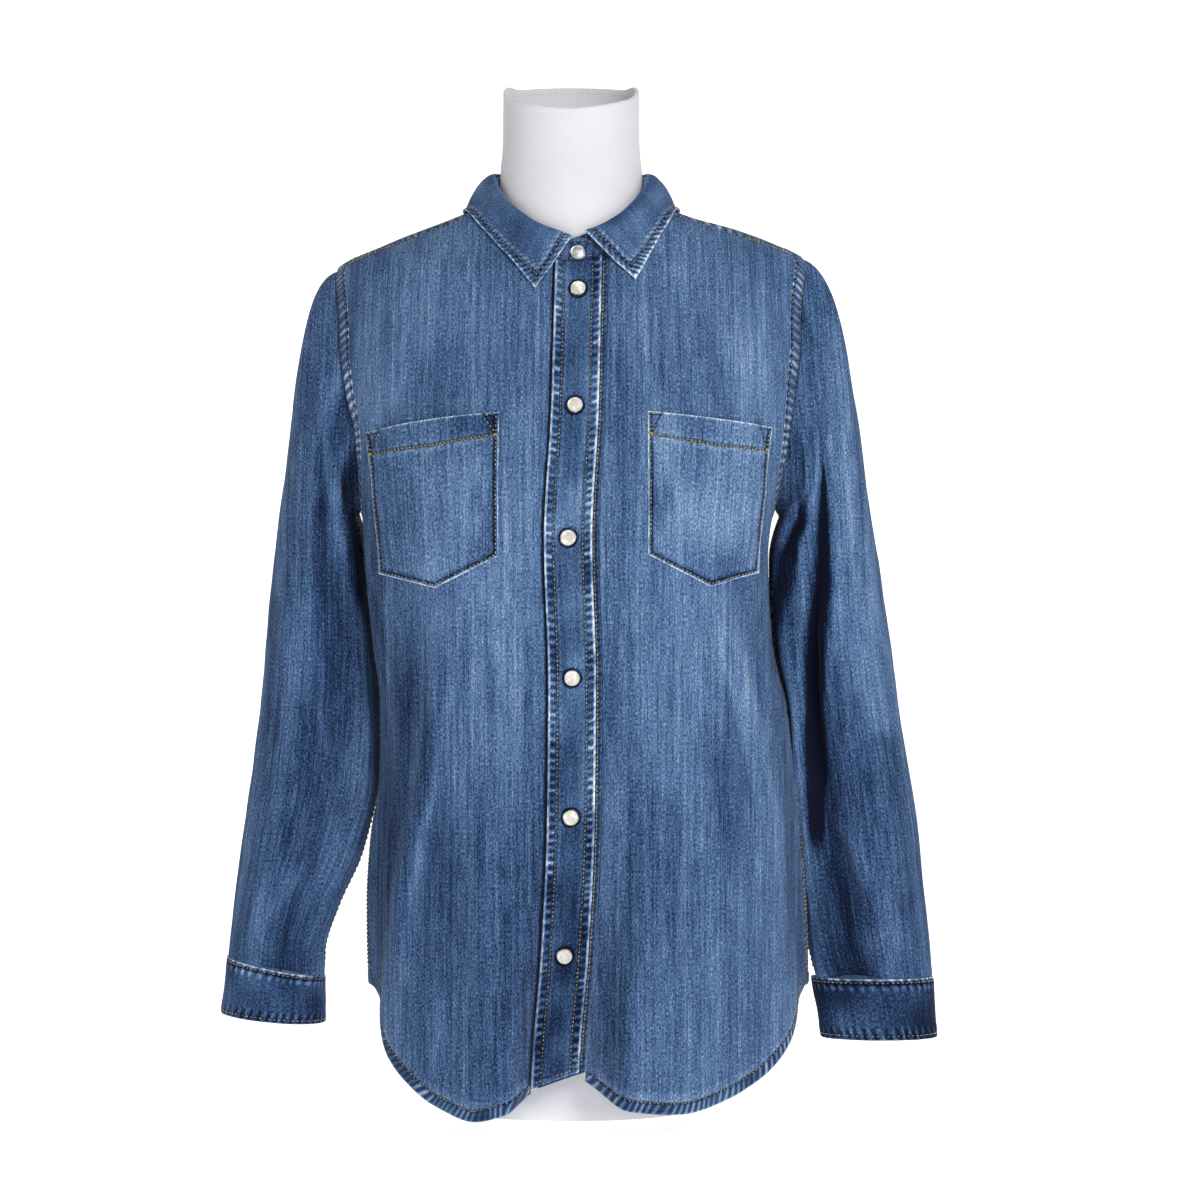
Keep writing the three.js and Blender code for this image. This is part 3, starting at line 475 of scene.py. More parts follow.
# The turn at which the front reaches a distance from the centre line
def turnAt(side, distance, z):
    side, distance, z = np.broadcast_arrays(side, distance, z)
    low = np.full(z.shape, -0.3)
    high = np.full(z.shape, quarter)
    for _ in range(26):
        turn = (low + high) / 2
        less = side * bodyPoint(side, turn, z, fine=False)[..., 0] < distance
        low = np.where(less, turn, low)
        high = np.where(less, high, turn)
    return (low + high) / 2


def armholeCut(side, z):
    left = np.asarray(side) < 0
    middle = np.where(left, armholes[-1]["middle"], armholes[1]["middle"])
    u = np.clip((z - middle) / np.where(left, armholes[-1]["halfHeight"], armholes[1]["halfHeight"]), -1, 1)
    return clothSizes["armholeReach"] * np.sqrt(1 - u * u)


# The point of the neckline at an angle round the neck, with the turn and height of the body there
def neckline(side, angle):
    side, angle = np.broadcast_arrays(side, np.asarray(angle, float))
    x = clothSizes["neckHalf"] * np.sin(angle)
    y = -np.where(angle < quarter, clothSizes["neckFront"], clothSizes["neckBack"]) * np.cos(angle)
    low = np.full(angle.shape, 640.0)
    high = np.full(angle.shape, 748.0)
    for _ in range(30):
        z = (low + high) / 2
        depth = np.where(y < 0, body["front"](z), body["back"](z))
        reach = reachOf(side, z)
        turn = np.arctan2(np.abs(x) / reach, -y / depth)
        full = 1 + body["fullness"](z) * np.sin(2 * turn) ** 2
        inside = np.hypot(x / reach, y / depth) / full < 1
        low = np.where(inside, z, low)
        high = np.where(inside, high, z)
    z = (low + high) / 2
    depth = np.where(y < 0, body["front"](z), body["back"](z))
    turn = np.arctan2(x / reachOf(side, z), -y / depth)
    return side * x, y, z, turn


# The unit normal of a surface, along which callers move points out; facing is 1 or -1
def normalOf(surface, u, v, facing, h=2e-4):
    across = surface(u + h, v) - surface(u - h, v)
    along = surface(u, v + h) - surface(u, v - h)
    return unit(np.cross(across, along)) * facing


def spread(value, like):
    return np.broadcast_to(np.asarray(value, float), np.shape(like)).copy()


# Where the shirt has faded, together with painted light and shade: patches by x and height, seen from the front and
# again on the back
fadeAndShadePatches = [
    dict(x=-70, z=645, wide=46, high=50, gain=0.16),
    dict(x=-40, z=680, wide=26, high=34, gain=-0.16),
    dict(x=96, z=645, wide=50, high=60, gain=0.16),
    dict(x=76, z=600, wide=22, high=42, gain=-0.14),
    dict(x=-135, z=572, wide=20, high=40, gain=0.34),
    dict(x=140, z=604, wide=22, high=60, gain=0.32),
    dict(x=-44, z=540, wide=18, high=70, gain=0.16),
    dict(x=-46, z=392, wide=20, high=90, gain=0.36),
    dict(x=-78, z=400, wide=30, high=60, gain=0.14),
    dict(x=-104, z=240, wide=17, high=80, gain=-0.16),
    dict(x=-74, z=140, wide=46, high=120, gain=-0.64),
    dict(x=-134, z=290, wide=26, high=170, gain=-0.3),
    dict(x=-28, z=150, wide=15, high=150, gain=-0.24),
    dict(x=62, z=400, wide=44, high=70, gain=0.32),
    dict(x=92, z=350, wide=34, high=70, gain=0.16),
    dict(x=128, z=385, wide=24, high=80, gain=0.2),
    dict(x=76, z=165, wide=58, high=140, gain=-0.34),
    dict(x=34, z=110, wide=18, high=90, gain=-0.22),
    dict(x=40, z=500, wide=16, high=80, gain=-0.1),
    dict(x=104, z=500, wide=50, high=60, gain=0.12),
    dict(x=142, z=250, wide=28, high=140, gain=-0.12),
]


# Creases painted with a sharp pale ridge, a painted highlight, and painted shade on one side of it, by height and x
ridgeShades = [
    dict(z=[400, 346, 306, 269, 231, 166, 120], x=[-86, -93, -100, -106, -116, -126, -131], away=-1, run=26, gain=-0.34,
         pale=0.26),
    dict(z=[420, 370, 342, 309, 256, 200], x=[108, 115, 126, 133, 145, 152], away=-1, run=15, gain=-0.24, pale=0.16),
    dict(z=[520, 440, 380, 330], x=[-136, -140, -143, -140], away=-1, run=14, gain=-0.3, pale=0.16),
]


# Painted light and shade on the body, together with its faded patches
def bodyFadeAndShade(point, relief):
    x, z = point[..., 0], point[..., 2]
    tone = np.zeros(x.shape)
    for r in ridgeShades:
        past = (x - np.interp(z, r["z"][::-1], r["x"][::-1])) * r["away"]
        run = np.clip((r["z"][0] - z) / (r["z"][0] - r["z"][-1]), 0, 1)
        held = np.sin(np.pi * run) ** 0.6
        beside = ease((past + 0.5) / 5) * np.exp(-((np.maximum(past, 0) / r["run"]) ** 2))
        tone = tone + (r["gain"] * beside + r["pale"] * hump((past + 2.5) / 5)) * held
    for p in fadeAndShadePatches:
        tone = tone + p["gain"] * np.exp(-(((x - p["x"]) / p["wide"]) ** 2) - ((z - p["z"]) / p["high"]) ** 2)
    # painted shade in the valleys of the relief and painted light on its ridges
    return tone + np.clip(relief * 0.07, -0.42, 0.3)


# Materials

def newMaterial(name):
    material = bpy.data.materials.new(name)
    material.use_nodes = True
    nodes = material.node_tree.nodes
    return material, nodes, material.node_tree.links, nodes["Principled BSDF"]


def setSockets(node, **values):
    for name, value in values.items():
        node.inputs[name.replace("_", " ")].default_value = value


def addMath(nodes, links, operation, a, b):
    node = nodes.new("ShaderNodeMath")
    node.operation = operation
    for socket, value in zip(node.inputs, (a, b)):
        if isinstance(value, (int, float)):
            socket.default_value = value
        else:
            links.new(value, socket)
    return node.outputs[0]


def addNoise(nodes, links, vector, scale, detail=2, roughness=0.55, stretch=(1, 1, 1), turn=0):
    mapping = nodes.new("ShaderNodeMapping")
    mapping.inputs["Scale"].default_value = stretch
    mapping.inputs["Rotation"].default_value = (0, 0, turn)
    noise = nodes.new("ShaderNodeTexNoise")
    setSockets(noise, Scale=scale, Detail=detail, Roughness=roughness)
    links.new(vector, mapping.inputs["Vector"])
    links.new(mapping.outputs["Vector"], noise.inputs["Vector"])
    return addMath(nodes, links, "SUBTRACT", noise.outputs["Fac"], 0.5)


def addRamp(nodes, links, value, stops):
    ramp = nodes.new("ShaderNodeValToRGB")
    elements = ramp.color_ramp.elements
    while len(elements) < len(stops):
        elements.new(0.5)
    for element, (at, colour) in zip(elements, stops):
        element.position = at
        element.color = (*[linear(c) for c in colour], 1)
    links.new(value, ramp.inputs["Fac"])
    return ramp.outputs["Color"]


def linear(channel):
    c = channel / 255
    return c / 12.92 if c <= 0.04045 else ((c + 0.055) / 1.055) ** 2.4


denimLook = dict(
    dye=[
        (0.0, (4, 10, 32)),
        (0.22, (31, 53, 87)),
        (0.44, (70, 98, 137)),
        (0.62, (106, 134, 170)),
        (0.8, (152, 173, 198)),
        (1.0, (224, 230, 234)),
    ],
    slubGain=0.46,  # the long uneven threads of the warp
    grainGain=1.15,  # the speckle of white weft between them
    cloudGain=0.24,  # the wash
    wearGain=0.5,
    twill=0.00055,
)


# Washed denim. shade moves the whole cloth towards dark or pale.
def makeDenim(name, shade, slub=1, grain=1):
    look = denimLook
    material, nodes, links, shader = newMaterial(name)
    flat = nodes.new("ShaderNodeUVMap")
    flat.uv_map = "cloth"
    place = nodes.new("ShaderNodeTexCoord")
    longSlub = addNoise(nodes, links, flat.outputs["UV"], 1, 2, 0.6, (340, 7, 1))
    shortSlub = addNoise(nodes, links, flat.outputs["UV"], 1, 2, 0.6, (640, 48, 1))
    speckle = addNoise(nodes, links, flat.outputs["UV"], 1, 2, 0.65, (900, 470, 1))
    cloud = addNoise(nodes, links, place.outputs["Object"], 15, 3, 0.55, (1, 1, 0.6))
    mottle = addNoise(nodes, links, place.outputs["Object"], 95, 2, 0.5, (1, 1, 0.45))
    fall = addNoise(nodes, links, flat.outputs["UV"], 1, 2, 0.5, (58, 6, 1))

    # This attribute carries wear together with painted shadow in the placket's gap, round the snaps and along stitch
    # rows.
    wear = nodes.new("ShaderNodeAttribute")
    wear.attribute_name = "wear"
    # This attribute carries random tone together with painted light and shade.
    tone = nodes.new("ShaderNodeAttribute")
    tone.attribute_name = "tone"

    value = addMath(nodes, links, "MULTIPLY", longSlub, look["slubGain"] * slub)
    for source, gain in (
        (shortSlub, look["slubGain"] * slub),
        (speckle, look["grainGain"] * grain),
        (cloud, look["cloudGain"]),
        (mottle, 0.12),
        (fall, 0.3 * slub),
        (wear.outputs["Fac"], look["wearGain"]),
        (tone.outputs["Fac"], 0.34),
    ):
        value = addMath(nodes, links, "ADD", value, addMath(nodes, links, "MULTIPLY", source, gain))
    value = addMath(nodes, links, "ADD", value, shade)
    colour = addRamp(nodes, links, value, look["dye"])
    links.new(colour, shader.inputs["Base Color"])

    rough = nodes.new("ShaderNodeMapRange")
    setSockets(rough, From_Min=-0.25, From_Max=0.25, To_Min=0.82, To_Max=0.97)
    links.new(speckle, rough.inputs["Value"])
    links.new(rough.outputs["Result"], shader.inputs["Roughness"])

    # the diagonal of the twill, and the threads
    turned = nodes.new("ShaderNodeMapping")
    turned.inputs["Rotation"].default_value = (0, 0, math.radians(28))
    wave = nodes.new("ShaderNodeTexWave")
    setSockets(wave, Scale=0.314 / look["twill"], Distortion=1.4, Detail=1, Detail_Scale=2)
    links.new(flat.outputs["UV"], turned.inputs["Vector"])
    links.new(turned.outputs["Vector"], wave.inputs["Vector"])
    height = addMath(nodes, links, "MULTIPLY", wave.outputs["Fac"], 0.3)
    height = addMath(nodes, links, "ADD", height, addMath(nodes, links, "MULTIPLY", speckle, 1.1))
    height = addMath(nodes, links, "ADD", height, addMath(nodes, links, "MULTIPLY", shortSlub, 1.2))
    bump = nodes.new("ShaderNodeBump")
    setSockets(bump, Strength=0.42, Distance=0.0006)
    links.new(height, bump.inputs["Height"])
    links.new(bump.outputs["Normal"], shader.inputs["Normal"])
    setSockets(shader, Specular_IOR_Level=0.12, Sheen_Weight=0.05, Sheen_Roughness=0.5)
    shader.inputs["Sheen Tint"].default_value = (0.72, 0.8, 0.95, 1)
    return material


# The back of the cloth, where the undyed weft shows
def makeDenimInside(name):
    material, nodes, links, shader = newMaterial(name)
    flat = nodes.new("ShaderNodeUVMap")
    flat.uv_map = "cloth"
    speckle = addNoise(nodes, links, flat.outputs["UV"], 1, 3, 0.7, (900, 700, 1))
    slub = addNoise(nodes, links, flat.outputs["UV"], 1, 2, 0.6, (600, 30, 1))
    value = addMath(nodes, links, "ADD", addMath(nodes, links, "MULTIPLY", slub, 0.7), 0.5)
    value = addMath(nodes, links, "ADD", value, addMath(nodes, links, "MULTIPLY", speckle, 0.9))
    stops = [(0.0, (70, 88, 116)), (0.5, (124, 142, 168)), (1.0, (192, 202, 214))]
    links.new(addRamp(nodes, links, value, stops), shader.inputs["Base Color"])
    bump = nodes.new("ShaderNodeBump")
    setSockets(bump, Strength=0.4, Distance=0.0005)
    links.new(speckle, bump.inputs["Height"])
    links.new(bump.outputs["Normal"], shader.inputs["Normal"])
    setSockets(shader, Roughness=0.95, Specular_IOR_Level=0.1)
    return material


def makeThread(name, dark, light):
    material, nodes, links, shader = newMaterial(name)
    place = nodes.new("ShaderNodeTexCoord")
    patch = addNoise(nodes, links, place.outputs["Object"], 620, 2, 0.6)
    value = addMath(nodes, links, "ADD", addMath(nodes, links, "MULTIPLY", patch, 3.6), 0.46)
    links.new(addRamp(nodes, links, value, [(0.0, dark), (1.0, light)]), shader.inputs["Base Color"])
    twist = nodes.new("ShaderNodeTexNoise")
    setSockets(twist, Scale=3200.0, Detail=1.0)
    bump = nodes.new("ShaderNodeBump")
    setSockets(bump, Strength=0.5, Distance=0.0001)
    links.new(place.outputs["Object"], twist.inputs["Vector"])
    links.new(twist.outputs["Fac"], bump.inputs["Height"])
    links.new(bump.outputs["Normal"], shader.inputs["Normal"])
    setSockets(shader, Roughness=0.62, Specular_IOR_Level=0.3, Sheen_Weight=0.2)
    return material


def makePearl(name, dark, light, metallic=0.0, roughness=0.24):
    material, nodes, links, shader = newMaterial(name)
    place = nodes.new("ShaderNodeTexCoord")
    swirl = addNoise(nodes, links, place.outputs["Object"], 190, 3, 0.6)
    value = addMath(nodes, links, "ADD", addMath(nodes, links, "MULTIPLY", swirl, 2.2), 0.5)
    links.new(addRamp(nodes, links, value, [(0.0, dark), (0.55, light), (1.0, (255, 253, 246))]), shader.inputs["Base Color"])
    fine = addNoise(nodes, links, place.outputs["Object"], 1500, 2, 0.5)
    bump = nodes.new("ShaderNodeBump")
    setSockets(bump, Strength=0.12, Distance=0.0001)
    links.new(fine, bump.inputs["Height"])
    links.new(bump.outputs["Normal"], shader.inputs["Normal"])
    setSockets(shader, Roughness=roughness, Metallic=metallic, Coat_Weight=0.5, Coat_Roughness=0.12)
    return material


def makeFormCloth(name):
    material, nodes, links, shader = newMaterial(name)
    place = nodes.new("ShaderNodeTexCoord")
    cloud = addNoise(nodes, links, place.outputs["Object"], 9, 3, 0.5)
    knit = addNoise(nodes, links, place.outputs["Object"], 1700, 2, 0.6, (1, 1, 1.4))
    value = addMath(nodes, links, "ADD", addMath(nodes, links, "MULTIPLY", cloud, 1.1), 0.5)
    value = addMath(nodes, links, "ADD", value, addMath(nodes, links, "MULTIPLY", knit, 0.5))
    stops = [(0.0, (198, 197, 203)), (0.5, (213, 212, 217)), (1.0, (226, 225, 228))]
    links.new(addRamp(nodes, links, value, stops), shader.inputs["Base Color"])
    bump = nodes.new("ShaderNodeBump")
    setSockets(bump, Strength=0.3, Distance=0.0003)
    links.new(knit, bump.inputs["Height"])
    links.new(bump.outputs["Normal"], shader.inputs["Normal"])
    setSockets(shader, Roughness=0.72, Specular_IOR_Level=0.3, Sheen_Weight=0.25, Sheen_Roughness=0.4)
    return material


materials = dict(
    panel=makeDenim("washed_denim", 0.405),
    sleeve=makeDenim("sleeve_denim", 0.375),
    pocket=makeDenim("pocket_denim", 0.43),
    band=makeDenim("band_denim", 0.345, 0.6, 0.85),
    cuff=makeDenim("cuff_denim", 0.28, 0.6, 0.85),
    collar=makeDenim("collar_denim", 0.33, 0.5, 0.9),
    seam=makeDenim("seam_denim", 0.35, 0.3, 0.8),
    inside=makeDenimInside("denim_back"),
    darkThread=makeThread("dark_thread", (22, 26, 36), (172, 166, 132)),
    goldThread=makeThread("gold_thread", (92, 82, 52), (196, 176, 116)),
    formThread=makeThread("form_thread", (150, 150, 158), (206, 206, 212)),
    pearl=makePearl("pearl_cap", (176, 173, 160), (206, 204, 194)),
    silverCap=makePearl("silver_cap", (120, 124, 130), (186, 190, 194), 0.5, 0.32),
    snapRim=makePearl("snap_rim", (34, 36, 42), (58, 60, 66), 0.2, 0.5),
    form=makeFormCloth("form_cloth"),
)
print("materials made")


# Turns one flat grid into a piece of cloth. surface gives millimetres for arrays of u and v, and look
# gives its wear, tone and painted light and shade for the same arrays.
def clothGrid(name, columns, rows, surface, flat, facing=1, loop=False, look=None, poles=False, plan=None):
    bm = bmesh.new()
    bmesh.ops.create_grid(bm, x_segments=columns, y_segments=rows, size=0.5)
    mesh = bpy.data.meshes.new(name)
    bm.to_mesh(mesh)
    bm.free()
    count = len(mesh.vertices)
    points = np.empty(count * 3)
    mesh.vertices.foreach_get("co", points)
    points = points.reshape(-1, 3)
    u = np.clip(points[:, 0] + 0.5, 0, 1)
    v = np.clip(points[:, 1] + 0.5, 0, 1)
    placed = surface(u, v)
    wearToneAndShade = look(u, v, placed) if look else (0.0, 0.0)
    metres = (placed - (0, 0, underside)) * mm
    mesh.vertices.foreach_set("co", metres.ravel())
    corners = np.empty(len(mesh.loops), int)
    mesh.loops.foreach_get("vertex_index", corners)
    layer = mesh.uv_layers.new(name="cloth")
    across, along = plan(placed, u) if plan else (u * flat[0], v * flat[1])
    uv = np.stack([across * mm, along * mm], axis=-1)[corners]
    layer.data.foreach_set("uv", uv.ravel())
    for attribute, values in zip(("wear", "tone"), wearToneAndShade):
        data = mesh.attributes.new(attribute, "FLOAT", "POINT")
        data.data.foreach_set("value", spread(values, u))
    if facing < 0:
        mesh.flip_normals()
    if loop or poles:
        bm = bmesh.new()
        bm.from_mesh(mesh)
        edge = [vert for vert in bm.verts if vert.is_boundary]
        bmesh.ops.remove_doubles(bm, verts=edge, dist=2e-5)
        bm.to_mesh(mesh)
        bm.free()
    mesh.shade_smooth()
    piece = bpy.data.objects.new(name, mesh)
    bpy.context.collection.objects.link(piece)
    return piece


def addWall(piece, wall, outside, inside):
    piece.data.materials.append(outside)
    piece.data.materials.append(inside)
    solidify = piece.modifiers.new("wall", "SOLIDIFY")
    solidify.thickness = wall * mm
    solidify.offset = -1
    solidify.material_offset = 1
    solidify.material_offset_rim = 0
    applyModifiers(piece)
    piece.data.set_sharp_from_angle(angle=math.radians(58))


def applyModifiers(piece):
    depsgraph = bpy.context.evaluated_depsgraph_get()
    mesh = bpy.data.meshes.new_from_object(piece.evaluated_get(depsgraph))
    old = piece.data
    piece.modifiers.clear()
    piece.data = mesh
    bpy.data.meshes.remove(old)
    mesh.name = piece.name


rests = ["dress_form"]


def keepPiece(piece, node=None, slot="denim"):
    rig.ride(piece, "root")
    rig.slot(piece, slot)
    if node:
        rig.replaces(piece, node)
    return piece


# A band that follows a path over a surface. path gives u and v along it, near and far are its edges in
# millimetres beside the path, and toward is the direction in which it lies.
def bandOver(surface, path, near, far, toward, s, w):
    h = 1e-3

    def at(share):
        return path(np.clip(share, 0, 1))

    u, v = at(s)
    e = 5e-4
    du = (surface(u + e, v) - surface(u - e, v)) / (2 * e)
    dv = (surface(u, v + e) - surface(u, v - e)) / (2 * e)
    low, high = np.clip(s - h, 0, 1), np.clip(s + h, 0, 1)
    tangent = unit(surface(*at(high)) - surface(*at(low)))
    normal = unit(np.cross(du, dv))
    beside = unit(np.cross(normal, tangent))
    aim = np.asarray(toward(surface(u, v)) if callable(toward) else toward, float)
    if np.mean(np.sum(beside * aim, axis=-1)) < 0:
        beside = -beside
    a = np.sum(du * du, -1)
    b = np.sum(du * dv, -1)
    c = np.sum(dv * dv, -1)
    p = np.sum(du * beside, -1)
    q = np.sum(dv * beside, -1)
    det = a * c - b * b
    stepU = (p * c - q * b) / det
    stepV = (q * a - p * b) / det
    reach = lerp(near, far, w)
    return u + stepU * reach, v + stepV * reach


def pathLength(surface, path):
    s = np.linspace(0, 1, 400)
    points = surface(*path(s))
    return float(np.sum(np.linalg.norm(np.diff(points, axis=0), axis=-1)))


# A folded and stitched seam: raised, puckered, worn pale on its ridges and along one edge
def seamBand(name, surface, path, near, far, toward, facing, rise=0.45, skew=0.4, seed=0, paleEdge=1, fade=0,
             lines=(), period=5.6):
    length = pathLength(surface, path)
    width = abs(far - near)
    columns = max(8, int(length / 1.25))

    def placed(u, v):
        bu, bv = bandOver(surface, path, near, far, toward, u, v)
        normal = normalOf(surface, bu, bv, facing)
        ridge = pucker(u * length, v * width, period, skew, seed)
        crown = 1 - np.abs(2 * v - 1) ** 6
        high = -0.12 + (rise + 0.42 * (ridge - 0.4)) * crown
        return surface(bu, bv) + normal * high[..., None]

    def look(u, v, points):
        ridge = pucker(u * length, v * width, period, skew, seed)
        edge = hump((v - paleEdge) / 0.16) + 0.6 * hump((v - (1 - paleEdge)) / 0.15)
        fray = 0.7 + 0.5 * softNoise(u * length / 2.3, v * 2, seed + 8)
        worn = 1.3 * ridge**2 - 0.26 + 0.95 * edge * fray + 0.14 * softNoise(u * length / 40, 0, seed)
        # a dark line under each row of stitches: the thread's colour, and painted shade of its groove
        for line in lines:
            worn = worn - 1.2 * hump((v * width - line) / 1.4)
        return worn + fade, spread(0, u)

    band = clothGrid(name, columns, 8, placed, (width, length), 1, look=look)
    # the grid's own face may look inwards, depending on which way the path runs
    centre = placed(np.array([0.5]), np.array([0.5]))
    bu, bv = bandOver(surface, path, near, far, toward, np.array([0.5]), np.array([0.5]))
    outward = normalOf(surface, bu, bv, facing)
    stepU = placed(np.array([0.502]), np.array([0.5])) - centre
    stepV = placed(np.array([0.5]), np.array([0.6])) - centre
    if np.sum(np.cross(stepU, stepV) * outward) < 0:
        band.data.flip_normals()
    band.data.materials.append(materials["seam"])
    return keepPiece(band)


stitchShape = dict(length=2.6, thick=1.1, pitch=3.3)


# Rows of thread stitches joined into one piece. Each row is (surface, path, offset, toward, facing).
def stitchPiece(name, rows, material, shape=stitchShape, rise=0.12):
    bm = bmesh.new()
    seed = bmesh.new()
    bmesh.ops.create_icosphere(seed, subdivisions=1, radius=0.5)
    bmesh.ops.scale(seed, vec=(shape["length"] * mm, shape["thick"] * mm, shape["thick"] * mm), verts=seed.verts)
    template = bpy.data.meshes.new("stitch")
    seed.to_mesh(template)
    seed.free()
    for row, (surface, path, offset, toward, facing) in enumerate(rows):
        length = pathLength(surface, path)
        count = max(2, int(length / shape["pitch"]))
        s = (np.arange(count) + 0.5) / count
        u, v = bandOver(surface, path, offset, offset, toward, s, 0)
        e = 0.4 / count
        nextU, nextV = bandOver(surface, path, offset, offset, toward, np.clip(s + e, 0, 1), 0)
        lastU, lastV = bandOver(surface, path, offset, offset, toward, np.clip(s - e, 0, 1), 0)
        tangent = unit(surface(nextU, nextV) - surface(lastU, lastV))
        normal = normalOf(surface, u, v, facing)
        centre = surface(u, v) + normal * rise - (0, 0, underside)
        lean = 0.12 * softNoise(s * count * 0.7, row * 3.1, 5)
        for p, t, n, slant in zip(centre * mm, tangent, normal, lean):
            t, n = Vector(t), Vector(n)
            t = (t + n.cross(t) * float(slant)).normalized()
            side = n.cross(t).normalized()
            matrix = Matrix((t, side, t.cross(side))).transposed().to_4x4()
            matrix.translation = Vector(p)
            stitch = template.copy()
            stitch.transform(matrix)
            bm.from_mesh(stitch)
            bpy.data.meshes.remove(stitch)
    bpy.data.meshes.remove(template)
    mesh = bpy.data.meshes.new(name)
    bm.to_mesh(mesh)
    bm.free()
    mesh.shade_smooth()
    mesh.materials.append(material)
    piece = bpy.data.objects.new(name, mesh)
    bpy.context.collection.objects.link(piece)
    return keepPiece(piece)


# The panels of the body

halfSeam = clothSizes["seamGap"] / 110


def panelGrid(side, s, t, near, far, hemHeight, neckZ, neckTurn, edgeRoll=0):
    climb = 1 - np.maximum(1 - t, 0) ** 1.25
    z = lerp(hemHeight, neckZ, climb)
    nearTop = near(neckZ)
    top = np.clip((neckTurn - nearTop) / (far(neckZ) - nearTop), 0, 1)
    share = lerp(s, top, ease((z - 600) / (neckZ - 600)))
    turn = lerp(near(z), far(z), share)
    rise = 0
    if edgeRoll:
        past = (turn - near(z)) * 150
        lower = 0.35 + 0.65 * ease((560 - z) / 200)
        rise = edgeRoll * (hump((past - 6) / 9) * lower - 0.8 * ease((1.8 - past) / 1.8))
    return bodyPoint(side, turn, z, rise)


def frontSurface(side):
    lag = 0 if side < 0 else clothSizes["underbandLag"]
    clear = clothSizes["placketWidth"] / 2 + lag + clothSizes["seamGap"]
    firstAngle = math.asin((side * float(closure["middle"](682)) + clear) / clothSizes["neckHalf"])
    hemCurve = hem["left"] if side < 0 else hem["right"]

    def near(z):
        return turnAt(side, side * closure["middle"](z) + clear, z)

    def far(z):
        return quarter - armholeCut(side, z) - halfSeam

    firstTurn = float(near(np.array(45.0)))

    def surface(s, t):
        s, t = np.broadcast_arrays(s, t)
        hemHeight = hemCurve(np.degrees(lerp(firstTurn, quarter, s)))
        x, y, neckZ, neckTurn = neckline(side, lerp(firstAngle, quarter, s))
        return panelGrid(side, s, t, near, far, hemHeight, neckZ, neckTurn, 1.5 if side < 0 else 0.5)

    return surface


def backSurface(s, t):
    s, t = np.broadcast_arrays(s, t)
    side = np.where(s < 0.5, -1, 1)
    share = np.abs(2 * s - 1)
    turn = lerp(math.pi, quarter, share)
    hemHeight = hem["left"](np.degrees(turn))
    x, y, neckZ, neckTurn = neckline(side, turn)

    def near(z):
        return np.full(np.shape(z), math.pi)

    def far(z):
        return quarter + armholeCut(side, z) + halfSeam

    return panelGrid(side, share, t, near, far, hemHeight, neckZ, neckTurn)


def bodyLook(u, v, points):
    side = np.where(points[..., 0] < 0, -1, 1)
    girth = np.arctan2(np.abs(points[..., 0]) / 165, -points[..., 1] / 115)
    relief = bodyRelief(side, girth, points[..., 2])
    folds = foldHeight(bodyFolds, "Turn", np.degrees(girth), points[..., 2], side)
    front = points[..., 1] < 0
    tone = bodyFadeAndShade(points, relief * 1.2 + folds * 0.55)
    past = np.abs(points[..., 0] - closure["middle"](points[..., 2])) - clothSizes["placketWidth"] / 2
    # painted shadow: a dark line on the left front where it meets the placket
    leftEdge = -1.5 * ease((2.6 - past) / 1.6) * (side < 0) * front
    haze = 0.34 * hump((v * 800 - 11.5) / 4.5) * (0.8 + 0.4 * softNoise(points[..., 0] / 7, 0, 31))
    return leftEdge + haze, np.where(front, tone, tone * 0.6)


# The panels are cut with their warp upright, so their flat plan follows the way across and the height
def bodyPlan(points, u):
    return 205 * np.arcsin(np.clip(points[..., 0] / 205, -1, 1)), points[..., 2]


leftFront = frontSurface(-1)
rightFront = frontSurface(1)

frontLeftCloth = clothGrid("front_left_cloth", 84, 236, leftFront, (272, 724), facing=-1, look=bodyLook,
                           plan=bodyPlan)
frontRightCloth = clothGrid("front_right_cloth", 84, 236, rightFront, (272, 724), facing=1, look=bodyLook,
                            plan=bodyPlan)
backCloth = clothGrid("back_cloth", 130, 190, backSurface, (540, 744), facing=-1, look=bodyLook,
                      plan=bodyPlan)
for piece, node in ((frontLeftCloth, "front_left"), (frontRightCloth, "front_right"), (backCloth, "back")):
    addWall(piece, clothSizes["panelWall"], materials["panel"], materials["inside"])
    keepPiece(piece, node)
print("panels made")


# The placket and the band under it, as millimetres across from the closure's middle and by height
placketLook = dict(foot=50, half=18, seamLine=10.9, edgePucker=0.6, liftFrom=405, liftTo=545, lift=2.2)
snapHeights = [657, 565, 465, 360, 255, 149]


# Where the bands end under the collar stand
def closureTop(across):
    x = float(closure["middle"](682)) + across
    side = np.where(x < 0, -1, 1)
    angle = np.arcsin(np.clip(np.abs(x) / clothSizes["neckHalf"], 0, 1))
    return neckline(side, angle)[2] - 0.3


def closurePoint(across, z, rise):
    x = closure["middle"](z) + across
    side = np.where(x < 0, -1, 1)
    return bodyPoint(side, turnAt(side, np.abs(x), z), z, rise)


def placketRelief(across, z):
    look = placketLook
    edge = ease((np.abs(across) - look["seamLine"]) / 3.2)
    ridge = pucker(z + np.sign(across) * 2, across, 6.2, 0.25, 14)
    middle = look["liftFrom"] / 2 + look["liftTo"] / 2
    half = (look["liftTo"] - look["liftFrom"]) / 2
    lift = look["lift"] * hump((z - middle) / (half * 1.3)) * ease((across - 4) / 12)
    groove = -0.4 * hump((np.abs(across) - look["seamLine"]) / 1.7)
    roll = -0.6 * ease((np.abs(across) - look["half"] + 1.1) / 1.1)
    bulge = 0.45 * softNoise(across / 13, z / 16, 21) * (1 - edge)
    for height in snapHeights:
        near = np.hypot(across, z - height)
        bulge = bulge * ease((near - 5) / 8) - 0.3 * hump((near - 8.5) / 4.5)
    return lift + groove + roll + bulge + look["edgePucker"] * (ridge - 0.35) * edge


